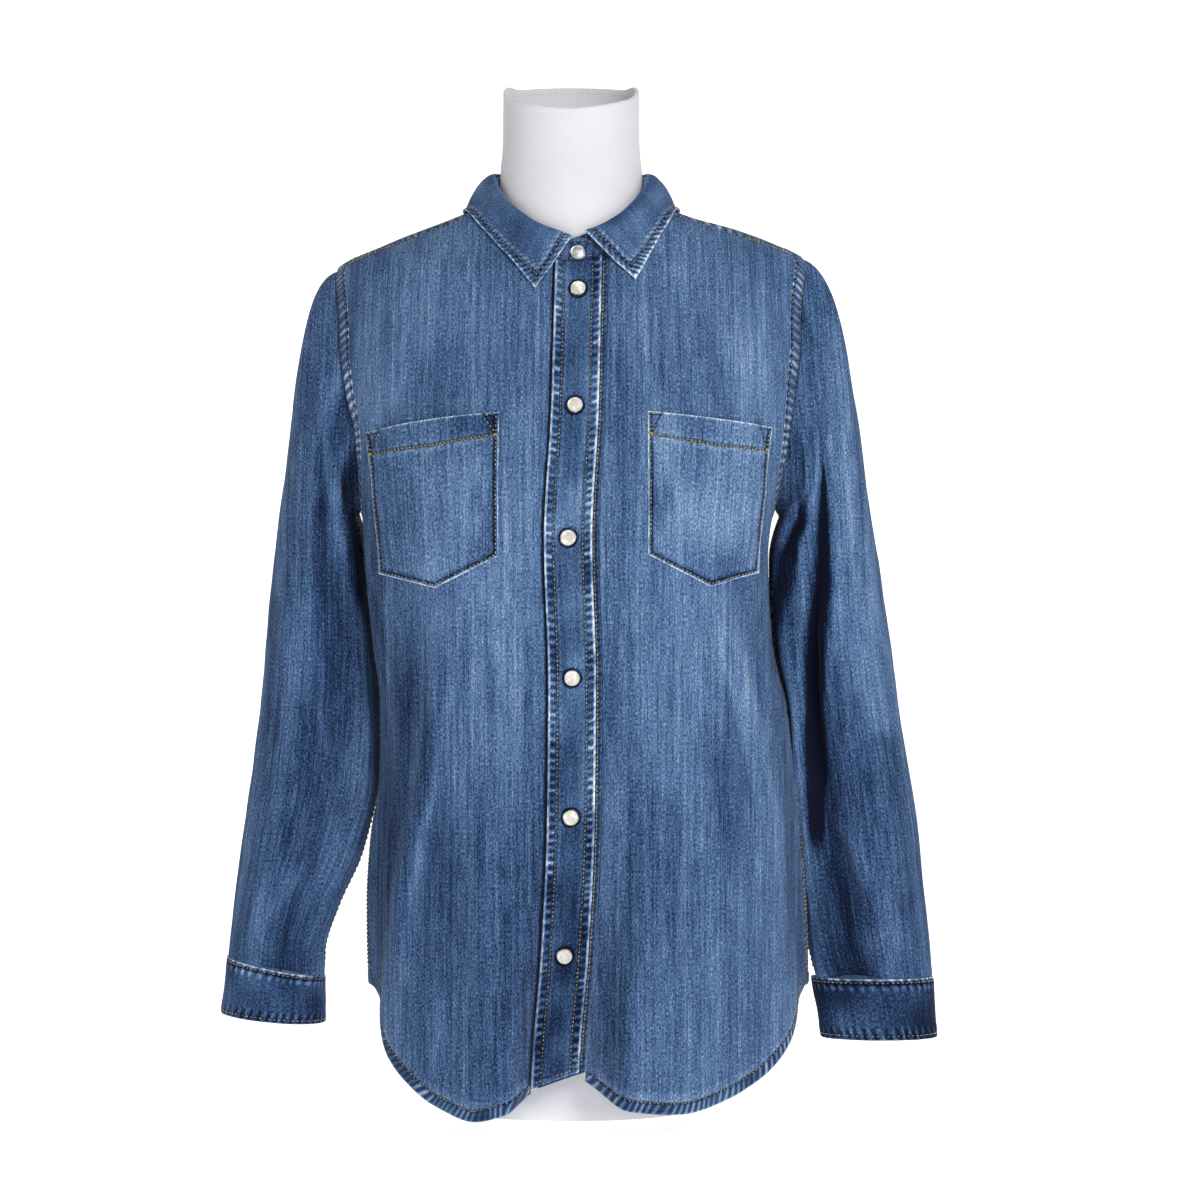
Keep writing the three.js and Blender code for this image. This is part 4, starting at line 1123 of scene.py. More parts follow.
def placketSurface(u, v):
    half = clothSizes["placketWidth"] / 2
    across = lerp(-half, half, u)
    foot = placketLook["foot"]
    z = lerp(lerp(foot - 6, foot + 7, u), closureTop(across), v)
    return closurePoint(across, z, clothSizes["placketRise"] + placketRelief(across, z))


def placketWearAndShade(u, v, points):
    half = placketLook["half"]
    across = lerp(-half, half, u)
    z = lerp(50, 680, v)
    edge = ease((np.abs(across) - 11.4) / 1.4) * ease((half - 1.2 - np.abs(across)) / 0.8)
    ridge = pucker(z + np.sign(across) * 2, across, 6.2, 0.25, 14)
    fray = 0.75 + 0.4 * softNoise(z / 3.1, across * 0.1, 30)
    rightEdge = 1.45 * hump((across - half + 0.6) / 1.9) * fray
    leftEdge = 1.35 * hump((across + half - 0.7) / 1.9) * fray
    worn = (1.45 * ridge**2.2 - 0.4) * edge + rightEdge + leftEdge
    worn = worn - 0.5 * hump((np.abs(across) - placketLook["seamLine"]) / 1.4)
    worn = worn + 0.3 * ridge * hump((np.abs(across) - 8.6) / 1.8)
    # random tone, painted shade towards the foot where the placket sinks back, and a lighter stretch round 480 mm high
    tone = 0.4 * softNoise(across / 15, z / 21, 6) - 0.4 * ease((330 - z) / 220) + 0.2 * hump((z - 480) / 160)
    worn = worn + 0.6 * ease((0.006 - v) / 0.006)
    foot = placketLook["foot"]
    exact = lerp(lerp(foot - 6, foot + 7, u), closureTop(across), v)
    # painted contact shadow in a ring round each snap
    for height in snapHeights:
        seat = lerp(50.5, closureTop(0.0), (height - 50.5) / 629.5)
        worn = worn - 1.1 * hump((np.hypot(across, exact - seat) - 6.7) / 1.4)
    return worn, tone


def underbandSurface(u, v):
    half = clothSizes["placketWidth"] / 2
    across = lerp(-half, half, u) + clothSizes["underbandLag"]
    foot = placketLook["foot"]
    z = lerp(lerp(foot - 6, foot + 7, u), closureTop(across), v)
    ridge = 0.3 * pucker(z, across, 6.0, 0.2, 33) * ease((across - 13) / 3)
    return closurePoint(across, z, -underbandSink + ridge)


def underbandWearAndShade(u, v, points):
    z = lerp(50, 680, v)
    ridge = pucker(z, u * 34, 6.0, 0.2, 33)
    # wear on its puckers and edge; its whole tone is painted shade from the placket that laps over it
    return 0.5 * (ridge - 0.5) * ease((u - 0.6) / 0.2) + 0.5 * hump((u - 1) / 0.05), spread(-0.35, u)


placketCloth = clothGrid("placket_cloth", 34, 420, placketSurface, (36, 630), look=placketWearAndShade)
addWall(placketCloth, clothSizes["bandWall"], materials["band"], materials["inside"])
keepPiece(placketCloth, "placket")
underbandCloth = clothGrid("underband_cloth", 20, 300, underbandSurface, (36, 630), look=underbandWearAndShade)
addWall(underbandCloth, clothSizes["bandWall"], materials["band"], materials["inside"])
keepPiece(underbandCloth, "underband")
print("closure made")


# Patch pockets, made from the panel's points moved out
pocketTables = dict(
    pocket_left=dict(side=-1, near=53, farTop=157, farFoot=145, nearTop=562, outTop=549, nearFoot=453,
                     outFoot=440, point=429, pointAt=0.52, seed=41),
    pocket_right=dict(side=1, near=59, farTop=155, farFoot=144, nearTop=563, outTop=553, nearFoot=454,
                      outFoot=441, point=430, pointAt=0.56, seed=52),
)
pocketHem = 17.4
pocketTall = 112
pocketWide = 98


def pocketPlace(pocket, u, v, rise):
    top = lerp(pocket["nearTop"], pocket["outTop"], u) + 1.6 * np.sin(np.pi * u) * (pocket["side"] < 0)
    foot = np.where(
        u < pocket["pointAt"],
        lerp(pocket["nearFoot"], pocket["point"], u / pocket["pointAt"]),
        lerp(pocket["point"], pocket["outFoot"], (u - pocket["pointAt"]) / (1 - pocket["pointAt"])),
    )
    z = lerp(foot, top, v)
    far = lerp(pocket["farFoot"], pocket["farTop"], v)
    turn = turnAt(pocket["side"], lerp(pocket["near"], far, u), z)
    return bodyPoint(pocket["side"], turn, z, rise)


def pocketEdge(u, v):
    return np.minimum(np.minimum(u, 1 - u) * pocketWide, v * pocketTall)


def pocketSurface(pocket):
    base = clothSizes["pocketWall"] + 0.35

    def surface(u, v):
        edge = pocketEdge(u, v)
        along = np.where(v * pocketTall < np.minimum(u, 1 - u) * pocketWide, u * pocketWide, v * pocketTall)
        fromTop = (1 - v) * pocketTall
        slack = 0.9 * ease(edge / 14) + 0.5 * softNoise(u * 4, v * 4, pocket["seed"])
        gape = 1.3 * np.sin(np.pi * np.clip(u, 0, 1)) * ease(1 - fromTop / 26)
        ridge = 0.34 * pucker(along, 0, 6.4, 0, pocket["seed"]) * hump((edge - 4.5) / 6)
        groove = -0.35 * hump((edge - 2.1) / 1.3) - 0.45 * hump((fromTop - pocketHem) / 1.5)
        hemRise = 0.35 * ease((pocketHem - fromTop) / 2)
        roll = -0.5 * ease((0.9 - edge) / 0.9)
        return pocketPlace(pocket, u, v, base + slack + gape + ridge + groove + hemRise + roll)

    return surface


def pocketWearAndShade(pocket):
    def look(u, v, points):
        edge = pocketEdge(u, v)
        fromTop = (1 - v) * pocketTall
        seed = pocket["seed"]
        worn = 1.15 * hump(edge / 1.5) * (0.8 + 0.4 * softNoise(u * 40, v * 40, seed))
        worn = np.maximum(worn, 0.95 * hump(fromTop / 1.5))
        worn = worn - 1.15 * hump((edge - 2.5) / 1.5) * ease((fromTop - 1) / 2)
        worn = worn - 0.3 * hump((edge - 4.1) / 2.6) * (0.7 + 0.6 * softNoise(u * 14, v * 14, seed))
        worn = worn - 0.7 * hump((fromTop - pocketHem) / 1.3)
        # the small triangle of stitches that holds each top corner
        fromSide = np.minimum(u, 1 - u) * pocketWide
        slope = fromSide - lerp(10.5, 2.4, np.clip(fromTop / pocketHem, 0, 1))
        worn = worn - 0.8 * hump(slope / 1.5) * ease((pocketHem - fromTop) / 1.5)
        worn = worn - 0.6 * hump((fromTop - 2) / 1.4) * ease((10.5 - fromSide) / 1.5)
        worn = worn + 0.26 * hump((fromTop - pocketHem - 3) / 3.0) * (0.6 + 0.6 * softNoise(u * 11, 0, seed + 2))
        worn = worn + 0.2 * hump((fromTop - pocketHem + 2.6) / 2.0) * (0.5 + 0.6 * softNoise(u * 22, 0, seed + 4))
        # random tone and a lighter middle, the hem band a little darker, and the right pocket painted lighter as
        # painted light
        tone = 0.32 * softNoise(u * 3.1, v * 3.4, seed + 1) + 0.2 * hump((u - 0.5) / 0.6) * hump((v - 0.35) / 0.5)
        tone = tone - 0.14 * ease((pocketHem - fromTop) / 3) + (0.2 if pocket["side"] > 0 else 0)
        return worn, tone

    return look


pocketCloths = {}
for node, pocket in pocketTables.items():
    piece = clothGrid(node + "_cloth", 88, 100, pocketSurface(pocket), (pocketWide, pocketTall),
                      facing=pocket["side"], look=pocketWearAndShade(pocket))
    addWall(piece, clothSizes["pocketWall"], materials["pocket"], materials["inside"])
    pocketCloths[node] = keepPiece(piece, node)
print("pockets made")


# Sleeves

sleeveLook = dict(capShare=8 / 21, start=452, clear=3.2, softness=7)
sleeveCreases = {
    # across is the turn about the sleeve in millimetres, 0 on its outer side and 75 in front
    -1: [
        dict(fromU=112, fromV=560, toU=86, toV=470, width=15, depth=2.2, bend=3),
        dict(fromU=130, fromV=540, toU=120, toV=440, width=13, depth=-2.4),
        dict(fromU=92, fromV=430, toU=122, toV=330, width=15, depth=-1.9),
        dict(fromU=64, fromV=400, toU=96, toV=300, width=14, depth=1.9),
        dict(fromU=84, fromV=300, toU=112, toV=236, width=13, depth=-2.2),
        dict(fromU=58, fromV=280, toU=84, toV=210, width=12, depth=1.9),
        dict(fromU=90, fromV=218, toU=60, toV=160, width=11, depth=1.7),
        dict(fromU=110, fromV=196, toU=96, toV=140, width=9, depth=-1.9),
        dict(fromU=40, fromV=330, toU=52, toV=200, width=12, depth=-1.5),
        dict(fromU=40, fromV=610, toU=70, toV=520, width=16, depth=-1.5),
    ],
    1: [
        dict(fromU=120, fromV=560, toU=146, toV=490, width=12, depth=3.2, bend=3),
        dict(fromU=90, fromV=552, toU=106, toV=330, width=10, depth=3.6),
        dict(fromU=73, fromV=530, toU=96, toV=270, width=11, depth=-6.5, bend=-3),
        dict(fromU=150, fromV=520, toU=140, toV=380, width=12, depth=-2.2),
        dict(fromU=90, fromV=497, toU=116, toV=492, width=6, depth=2.6),
        dict(fromU=92, fromV=485, toU=124, toV=452, width=9, depth=-4.2),
        dict(fromU=82, fromV=556, toU=90, toV=500, width=8, depth=-3.4),
        dict(fromU=70, fromV=420, toU=90, toV=300, width=13, depth=2.4),
        dict(fromU=54, fromV=390, toU=66, toV=250, width=14, depth=-1.8),
        dict(fromU=84, fromV=250, toU=60, toV=170, width=12, depth=2.4),
        dict(fromU=104, fromV=230, toU=86, toV=150, width=10, depth=-2.2),
        dict(fromU=40, fromV=240, toU=52, toV=140, width=12, depth=1.8),
        dict(fromU=126, fromV=300, toU=110, toV=200, width=10, depth=1.8),
        dict(fromU=36, fromV=600, toU=60, toV=500, width=16, depth=-1.4),
    ],
}


# Lines of painted shade, and a few of painted highlight, down the sleeves, by height and by degrees round from the
# outer side
sleeveShades = {
    -1: [
        dict(z=[560, 500, 440, 400], at=[128, 132, 136, 140], half=[14, 26, 26, 12], gain=-0.85, edge=0.9),
        dict(z=[510, 450, 350, 290], at=[88, 93, 106, 112], half=[10, 24, 24, 12], gain=-0.42, edge=0.9),
        dict(z=[620, 570, 520, 470], at=[104, 100, 96, 94], half=[10, 24, 24, 20], gain=-0.4, edge=1),
        dict(z=[345, 280, 231, 195], at=[76, 82, 90, 96], half=[10, 26, 26, 12], gain=-0.42, edge=0.9),
        dict(z=[640, 560, 500, 440], at=[84, 84, 108, 112], half=[8, 15, 13, 8], gain=0.3, edge=1),
        dict(z=[430, 330, 240, 180], at=[30, 44, 58, 66], half=[20, 40, 40, 30], gain=-0.28, edge=1),
    ],
    1: [
        dict(z=[530, 516, 473, 436, 388, 310, 262, 214], at=[86, 87, 92, 94, 101, 115, 122, 125],
             half=[1, 3, 9, 12, 15, 15, 12, 6], gain=-1.5, edge=0.55),
        dict(z=[506, 478, 440, 396, 340], at=[110, 119, 134, 152, 165], half=[4, 12, 16, 20, 16], gain=-1.2, edge=0.7),
        dict(z=[560, 530, 478, 430, 388, 330], at=[92, 94, 105, 111, 120, 132], half=[3, 6, 6, 6, 6, 4], gain=0.3,
             edge=1),
        dict(z=[640, 600, 540, 500], at=[80, 84, 90, 94], half=[14, 40, 40, 20], gain=0.22, edge=1),
        dict(z=[664, 620, 580, 549, 512], at=[60, 82, 96, 104, 110], half=[8, 25, 32, 34, 22], gain=-0.32,
             edge=0.3),
        dict(z=[650, 600, 560, 520, 450], at=[38, 44, 50, 58, 64], half=[10, 15, 17, 18, 12], gain=0.36, edge=0.8),
        dict(z=[320, 280, 230, 150], at=[46, 52, 60, 64], half=[30, 56, 60, 50], gain=-0.3, edge=1),
        dict(z=[440, 390, 350, 300], at=[44, 46, 48, 50], half=[20, 36, 36, 20], gain=0.24, edge=1),
    ],
}


def shadeAlong(lines, degrees, z):
    total = np.zeros(np.broadcast(degrees, z).shape)
    for line in lines:
        heights = line["z"][::-1]
        centre = np.interp(z, heights, line["at"][::-1])
        half = np.interp(z, heights, line["half"][::-1]) * (1 + 0.12 * softNoise(z / 23, 0, 8))
        inside = (half - np.abs(degrees - centre)) / (half * line["edge"])
        ends = ease((line["z"][0] - z) / 14) * ease((z - line["z"][-1]) / 26)
        total = total + line["gain"] * ease(inside) * ends
    return total


def armholePoint(side, angle):
    shrink = clothSizes["seamGap"] * 4
    hole = armholes[side]
    z = hole["middle"] + (hole["halfHeight"] - shrink) * np.cos(angle)
    reach = clothSizes["armholeReach"] - shrink / 120
    return bodyPoint(side, quarter - reach * np.sin(angle), z)


def bodySideAt(side, y, z):
    depth = np.where(y < 0, body["front"](z), body["back"](z))
    turn = np.arccos(np.clip(-y / depth, -1, 1))
    full = 1 + body["fullness"](z) * np.sin(2 * turn) ** 2
    return reachOf(side, z) * np.sin(turn) * full


def sleeveSection(side, table, folds, around, z):
    around, z = np.broadcast_arrays(around, z)
    halfWidth = (table["outer"](z) - table["inner"](z)) / 2
    middle = (table["outer"](z) + table["inner"](z)) / 2
    halfDepth = table["depth"](z) / 2
    outward = unit(np.stack([halfDepth * np.cos(around), -halfWidth * np.sin(around)], axis=-1))
    fold = foldHeight(folds, "Round", np.degrees(around) % 360, z)
    across = halfWidth * np.cos(around) + outward[..., 0] * fold
    tilt = np.radians(table["tilt"](z))
    y = table["middle"](z) - halfDepth * np.sin(around) + outward[..., 1] * fold
    height = z + across * np.sin(tilt)
    x = middle + across * np.cos(tilt)
    over = (bodySideAt(side, y, height) + sleeveLook["clear"] - x) / sleeveLook["softness"]
    x = x + sleeveLook["softness"] * np.where(over > 2, over, np.where(over > -2, (over + 2) ** 2 / 8, 0))
    return stack(side * x, y, height)


def bezier(a, b, c, d, t):
    t = t[..., None]
    return (1 - t) ** 3 * a + 3 * (1 - t) ** 2 * t * b + 3 * (1 - t) * t * t * c + t**3 * d


def sleeveForm(side, table, folds):
    curves = curvesOf(table, "z")
    foot = table["z"][-1]
    capShare = sleeveLook["capShare"]

    def surface(s, t):
        s, t = np.broadcast_arrays(s, t)
        around = s * 2 * math.pi
        z = lerp(sleeveLook["start"], foot, np.maximum(t - capShare, 0) / (1 - capShare))
        lower = sleeveSection(side, curves, folds, around, z)
        start = armholePoint(side, around)
        end = sleeveSection(side, curves, folds, around, spread(sleeveLook["start"], s))
        up = np.cos(around)
        leave = unit(stack(
            side * (0.5 + 0.46 * up * up),
            -0.12 * np.sin(around),
            -(0.84 - 0.57 * np.maximum(0, up) - 0.45 * np.maximum(0, -up)),
        ))
        length = np.linalg.norm(end - start, axis=-1)
        first = start + leave * np.minimum(32, length * 0.36)[..., None]
        below = sleeveSection(side, curves, folds, around, spread(sleeveLook["start"] - 8, s))
        second = end + unit(end - below) * np.minimum(150, length * 0.6)[..., None]
        second[..., 0] -= side * 5 * np.maximum(0, up)
        upper = bezier(start, first, second, end, np.clip(t / capShare, 0, 1))
        return np.where((t < capShare)[..., None], upper, lower)

    return surface


def sleeveRelief(side, s, points):
    z = points[..., 2]
    around = s * 300
    seed = 60 + side
    creases = creaseHeight(sleeveCreases[side], around, z)
    loop = np.cos(2 * np.pi * s)
    loopB = np.sin(2 * np.pi * s)
    rumple = 1.0 * softNoise(loop * 1.6 + z / 60, loopB * 1.6, seed) + 0.7 * softNoise(
        loop * 3.4 + 9, loopB * 3.4 + z / 36, seed + 1
    )
    fine = 0.28 * softNoise(loop * 9, loopB * 9 + z / 13, seed + 2)
    cuffTop = 129 if side < 0 else 118
    gather = 0.7 * pucker(around, 0, 11, 0, seed) * np.exp(-np.maximum(z - cuffTop, 0) / 12)
    cap = ease((660 - z) / 60)
    return (creases + rumple * 0.8 + fine) * (0.25 + 0.75 * cap) + gather


def sleeveSurface(side, table, folds):
    form = sleeveForm(side, table, folds)

    def surface(s, t):
        s, t = np.broadcast_arrays(s, t)
        points = form(s, t)
        relief = sleeveRelief(side, s, points) * ease(t / 0.05)
        return points + normalOf(form, s, t, side)[..., :] * relief[..., None]

    return surface


def sleevePaintedShade(side, table, folds):
    form = sleeveForm(side, table, folds)

    def look(u, v, points):
        base = form(u, v)
        relief = sleeveRelief(side, u, base)
        folded = foldHeight(folds, "Round", u * 360, base[..., 2])
        front = np.sin(2 * np.pi * u)
        z = base[..., 2]
        # painted shade in the sleeve's valleys and on its back, painted light on its ridges and on the upper outer
        # front, darker just above the cuff, and the painted lines of shade
        tone = np.clip(relief * 0.085, -0.5, 0.3) + np.clip(folded * 0.035, -0.6, 0.2)
        tone = tone - 0.16 * np.maximum(0, -front)
        if side < 0:
            tone = tone + 0.1 * hump((u - 0.17) / 0.14) * hump((z - 380) / 230) - 0.12 * ease((200 - z) / 60)
        else:
            tone = tone + 0.24 * hump((u - 0.17) / 0.14) * hump((z - 470) / 200) - 0.12 * ease((230 - z) / 60)
        return spread(0, u), tone + shadeAlong(sleeveShades[side], u * 360, z)

    return look


# The warps run down the arm, and stay straight over the top of the sleeve where the grid fans out
def sleevePlan(table):
    curves = curvesOf(table, "z")
    start = sleeveLook["start"]

    def middle(z):
        return float(curves["outer"](z) + curves["inner"](z)) / 2

    half = 1.06 * float(curves["outer"](start) - curves["inner"](start)) / 2
    slope = (middle(start) - middle(start - 80)) / 80

    def plan(points, u):
        z = points[..., 2]
        across = np.abs(points[..., 0]) - middle(start) - slope * (z - start)
        turned = quarter - np.arcsin(np.clip(across / half, -1, 1))
        around = np.where(u < 0.5, turned, 2 * math.pi - turned) / (2 * math.pi)
        return 330 * lerp(around, u, ease((start + 30 - z) / 60)), 700 - z

    return plan


sleeveParts = {
    -1: ("left", leftSleeveSections, leftSleeveFolds),
    1: ("right", rightSleeveSections, rightSleeveFolds),
}
sleeveSurfaces = {}
sleeveCloths = {}
for side, (word, table, folds) in sleeveParts.items():
    surface = sleeveSurface(side, table, folds)
    sleeveSurfaces[side] = surface
    piece = clothGrid("sleeve_" + word + "_cloth", 120, 210, surface, (330, 560), facing=side, loop=True,
                      look=sleevePaintedShade(side, table, folds), plan=sleevePlan(table))
    addWall(piece, clothSizes["panelWall"], materials["sleeve"], materials["inside"])
    sleeveCloths[side] = keepPiece(piece, "sleeve_" + word)
print("sleeves made")


# Cuffs: one band each, whose outer end laps over its inner end behind the wrist
cuffTables = {
    -1: dict(top=dict(x=236, z=128, half=40, halfDepth=29, tilt=11.6),
             foot=dict(x=238, z=87, half=42, halfDepth=31, tilt=5.5), middle=0),
    1: dict(top=dict(x=242.5, z=117, half=49, halfDepth=20, tilt=0),
            foot=dict(x=247.5, z=68.5, half=47, halfDepth=22, tilt=0), middle=15),
}
cuffLook = dict(overlap=0.09, lift=2.2, tall=45, girth=262, seamLine=9.5, snapAt=0.955)


def cuffSurface(side):
    rings = cuffTables[side]
    seed = 70 + side

    def surface(s, t):
        s, t = np.broadcast_arrays(s, t)

        def part(name):
            return lerp(rings["top"][name], rings["foot"][name], t)

        turns = 1 + cuffLook["overlap"]
        around = 1.5 * math.pi + 2 * math.pi * turns * s
        lift = cuffLook["lift"] * ease((s * turns - (1 - cuffLook["overlap"])) / cuffLook["overlap"])
        along = s * cuffLook["girth"]
        down = t * cuffLook["tall"]
        edge = np.minimum(down, cuffLook["tall"] - down)
        ridge = pucker(along, down, 6.6, 0.3, seed)
        relief = 0.55 * (ridge - 0.4) * ease((cuffLook["seamLine"] + 2 - edge) / 3)
        relief = relief - 0.4 * hump((down - 2.2) / 1.5) - 0.4 * hump((cuffLook["tall"] - down - 3) / 1.5)
        relief = relief + 0.75 * softNoise(along / 24, down / 30, seed + 9) + 0.3 * softNoise(along / 8, down / 12, seed)
        relief = relief - 0.5 * ease((1.3 - edge) / 1.3)
        across = (part("half") + lift + relief) * np.cos(around)
        tilt = np.radians(part("tilt"))
        return stack(
            side * (part("x") + across * np.cos(tilt)),
            rings["middle"] - (part("halfDepth") + lift + relief) * np.sin(around),
            part("z") + across * np.sin(tilt),
        )

    return surface


def cuffFading(side):
    seed = 70 + side

    def look(u, v, points):
        along = u * cuffLook["girth"]
        down = v * cuffLook["tall"]
        edge = np.minimum(down, cuffLook["tall"] - down)
        ridge = pucker(along, down, 6.6, 0.3, seed)
        fray = 0.8 + 0.4 * softNoise(along / 4, 0, seed + 2)
        worn = 1.7 * hump(down / 2.2) * fray
        worn = worn - 0.8 * hump((down - 3.4) / 1.7)
        worn = worn + 0.85 * (ridge - 0.45) * ease((cuffLook["seamLine"] + 1 - edge) / 3)
        worn = worn + 0.3 * hump((down - 7) / 3.2) * fray + 0.4 * hump((cuffLook["tall"] - down) / 1.2) * fray
        worn = worn - 0.4 * hump((cuffLook["tall"] - down - 3.2) / 2)
        tone = 0.45 * softNoise(along / 26, down / 22, seed + 4) + (0.0 if side < 0 else -0.4)
        return worn, tone

    return look


cuffSurfaces = {}
cuffCloths = {}
for side, word in ((-1, "left"), (1, "right")):
    surface = cuffSurface(side)
    cuffSurfaces[side] = surface
    piece = clothGrid("cuff_" + word + "_cloth", 230, 42, surface, (262, 45), facing=side, look=cuffFading(side))
    addWall(piece, clothSizes["bandWall"], materials["cuff"], materials["inside"])
    cuffCloths[side] = keepPiece(piece, "cuff_" + word)
print("cuffs made")


# The collar: a stand from the neckline up, and the leaf that folds over it
standLook = dict(half=60, front=59, back=61, tall=31, girth=385)
standDrop = clothSizes["bandWall"] + clothSizes["seamGap"] * 2.6
standLap = clothSizes["bandWall"] + clothSizes["seamGap"] * 1.5
standMiddle = float(closure["middle"](682))


def angleAtFront(side, x):
    return math.asin(max(-1, min(1, side * x / clothSizes["neckHalf"])))


def roundNeck(s, leftStart, rightEnd):
    leftRun = math.pi - leftStart
    travelled = s * (leftRun + math.pi - rightEnd)
    onLeft = travelled < leftRun
    return np.where(onLeft, -1, 1), np.where(onLeft, leftStart + travelled, math.pi - (travelled - leftRun))


standLeft = angleAtFront(-1, standMiddle + clothSizes["placketWidth"] / 2)
standRight = angleAtFront(1, standMiddle - clothSizes["placketWidth"] / 2 + 6)


def standPoint(side, angle, height):
    x, y, z, turn = neckline(side, angle)
    depth = np.where(angle < quarter, standLook["front"], standLook["back"])
    top = stack(
        side * standLook["half"] * np.sin(angle),
        -depth * np.cos(angle),
        collar["top"](np.degrees(angle)) - standDrop,
    )
    foot = stack(x, y, z + clothSizes["seamGap"] * 1.5)
    return lerp(foot, top, np.asarray(height)[..., None])


def standBand(side, angle, t):
    lapEnd = angleAtFront(-1, standMiddle - clothSizes["placketWidth"] / 2 - 2)
    outer = np.where(side < 0, 1 - ease((angle - lapEnd) / 0.2), 0)
    corner = np.where(side < 0, lerp(0.3, 1, np.sqrt(np.clip((angle - standLeft) / 0.2, 0, 1))), 1)
    point = standPoint(side, angle, t * corner)
    point[..., 0] += side * np.sin(angle) * standLap * outer
    point[..., 1] -= np.cos(angle) * standLap * outer
    return point


def standForm(s, t):
    s, t = np.broadcast_arrays(s, t)
    side, angle = roundNeck(s, standLeft, standRight)
    return standBand(side, angle, t)


def standSurface(s, t):
    points = standForm(s, t)
    along = s * standLook["girth"]
    relief = 0.3 * (pucker(along, t * 20, 5.8, 0.2, 81) - 0.4) * (1 - hump((t - 0.5) / 0.4))
    relief = relief - 0.45 * ease((0.04 - np.minimum(t, 1 - t)) / 0.04)
    return points + normalOf(standForm, s, t, -1) * np.asarray(relief)[..., None]


def standFading(u, v, points):
    along = u * standLook["girth"]
    ridge = pucker(along, v * 20, 5.8, 0.2, 81)
    worn = 0.45 * (ridge - 0.5) + 0.7 * hump((v - 1) / 0.06) + 0.6 * hump(u / 0.005)
    return worn - 0.25 * hump((v - 0.1) / 0.1), 0.25 * softNoise(along / 18, v * 2, 6)


standCloth = clothGrid("collar_stand_cloth", 300, 20, standSurface, (385, 31), facing=-1, look=standFading)
addWall(standCloth, clothSizes["bandWall"], materials["band"], materials["inside"])
keepPiece(standCloth, "collar_stand")


def bodyField(p):
    z = np.clip(p[..., 2], 1, 747)
    reach = np.where(p[..., 0] < 0, body["left"](z), body["right"](z))
    depth = np.where(p[..., 1] < 0, body["front"](z), body["back"](z))
    turn = np.arctan2(np.abs(p[..., 0]) / reach, -p[..., 1] / depth)
    full = 1 + body["fullness"](z) * np.sin(2 * turn) ** 2
    return np.hypot(p[..., 0] / reach, p[..., 1] / depth) / full - 1


def clearOfBody(points, gap):
    step = 0.05
    for _ in range(8):
        here = bodyField(points)
        slope = np.stack([bodyField(points + step * axis) - here for axis in np.eye(3)], axis=-1) / step
        size = np.linalg.norm(slope, axis=-1)
        short = gap - here / size
        push = np.where(short > 0, np.minimum(short, 4), 0)
        points = points + slope / size[..., None] * push[..., None]
    return points


leafLook = dict(shift=9, gap=1.6, edgeSeam=7.2, girth=430, deep=60)
leafLeft = angleAtFront(-1, standMiddle - 5)
leafRight = angleAtFront(1, standMiddle + 4)


def leafForm(s, t):
    s, t = np.broadcast_arrays(s, t)
    side, angle = roundNeck(s, leafLeft, leafRight)
    r = np.clip(1 - t, 0, 1)
    degrees = np.degrees(angle)
    frontness = np.maximum(0, np.cos(angle))
    outward = stack(side * np.sin(angle), -np.cos(angle), 0 * angle)
    depth = np.where(angle < quarter, standLook["front"], standLook["back"])
    lean = clothSizes["seamGap"] * 2 + standLap * frontness**4
    start = stack(
        side * (standLook["half"] + lean) * np.sin(angle),
        -(depth + lean) * np.cos(angle),
        collar["top"](degrees),
    )
    edge = stack(
        side * collar["edgeX"](degrees) + leafLook["shift"] * frontness**2,
        collar["edgeY"](degrees),
        collar["edgeZ"](degrees),
    )
    first = start + outward * collar["roll"](degrees)[..., None]
    second = (start + edge) / 2 + outward * (1 + 7 * np.sin(angle) ** 4)[..., None]
    point = bezier(start, first, second, edge, r)
    cleared = clearOfBody(point, clothSizes["bandWall"] + leafLook["gap"])
    blend = ease((r - 0.12) / 0.26)[..., None]
    return lerp(point, cleared, blend)


def leafEdge(s, t):
    deep = leafLook["deep"] * t
    ends = np.minimum(s, 1 - s) * leafLook["girth"]
    return np.minimum(deep, ends)


def leafRelief(s, t):
    edge = leafEdge(s, t)
    deep = leafLook["deep"] * t
    ends = np.minimum(s, 1 - s) * leafLook["girth"]
    along = np.where(deep < ends, s * leafLook["girth"], deep + 37)
    ridge = pucker(along, edge * np.where(s < 0.5, 1, -1), 5.2, 0.85, 90)
    zone = ease((leafLook["edgeSeam"] + 1 - edge) / 2)
    relief = 0.75 * (ridge - 0.35) * zone - 0.45 * hump((edge - leafLook["edgeSeam"]) / 1.5)
    relief = relief - 0.7 * ease((1.4 - edge) / 1.4)
    wave = 0.8 * softNoise(s * 9, t * 2, 91) + 0.4 * softNoise(s * 30, t * 5, 92)
    return relief + wave * ease(edge / 12), ridge, zone, edge


def leafSurface(s, t):
    s, t = np.broadcast_arrays(s, t)
    relief = leafRelief(s, t)[0]
    points = leafForm(s, t)
    return points + normalOf(leafForm, s, np.clip(t, 2e-3, 1 - 2e-3), -1, 1e-3) * relief[..., None]


def leafFading(u, v, points):
    relief, ridge, zone, edge = leafRelief(u, v)
    fray = 0.8 + 0.5 * softNoise(u * 160, v * 20, 95)
    worn = 1.5 * hump(edge / 2.3) * fray + (1.3 * ridge**2 - 0.32) * zone
    worn = worn - 1.15 * hump((edge - leafLook["edgeSeam"]) / 1.5)
    worn = worn + 0.85 * ridge * hump((edge - 10.6) / 4.4) * fray
    worn = worn + 0.3 * hump((v - 1) / 0.1)
    tips = np.minimum(u, 1 - u) * leafLook["girth"] + v * leafLook["deep"]
    worn = worn + 0.9 * ease((9 - tips) / 6) * fray
    tone = 0.3 * softNoise(u * 12, v * 3, 96) + 0.2 * hump((v - 0.5) / 0.5)
    return worn, tone


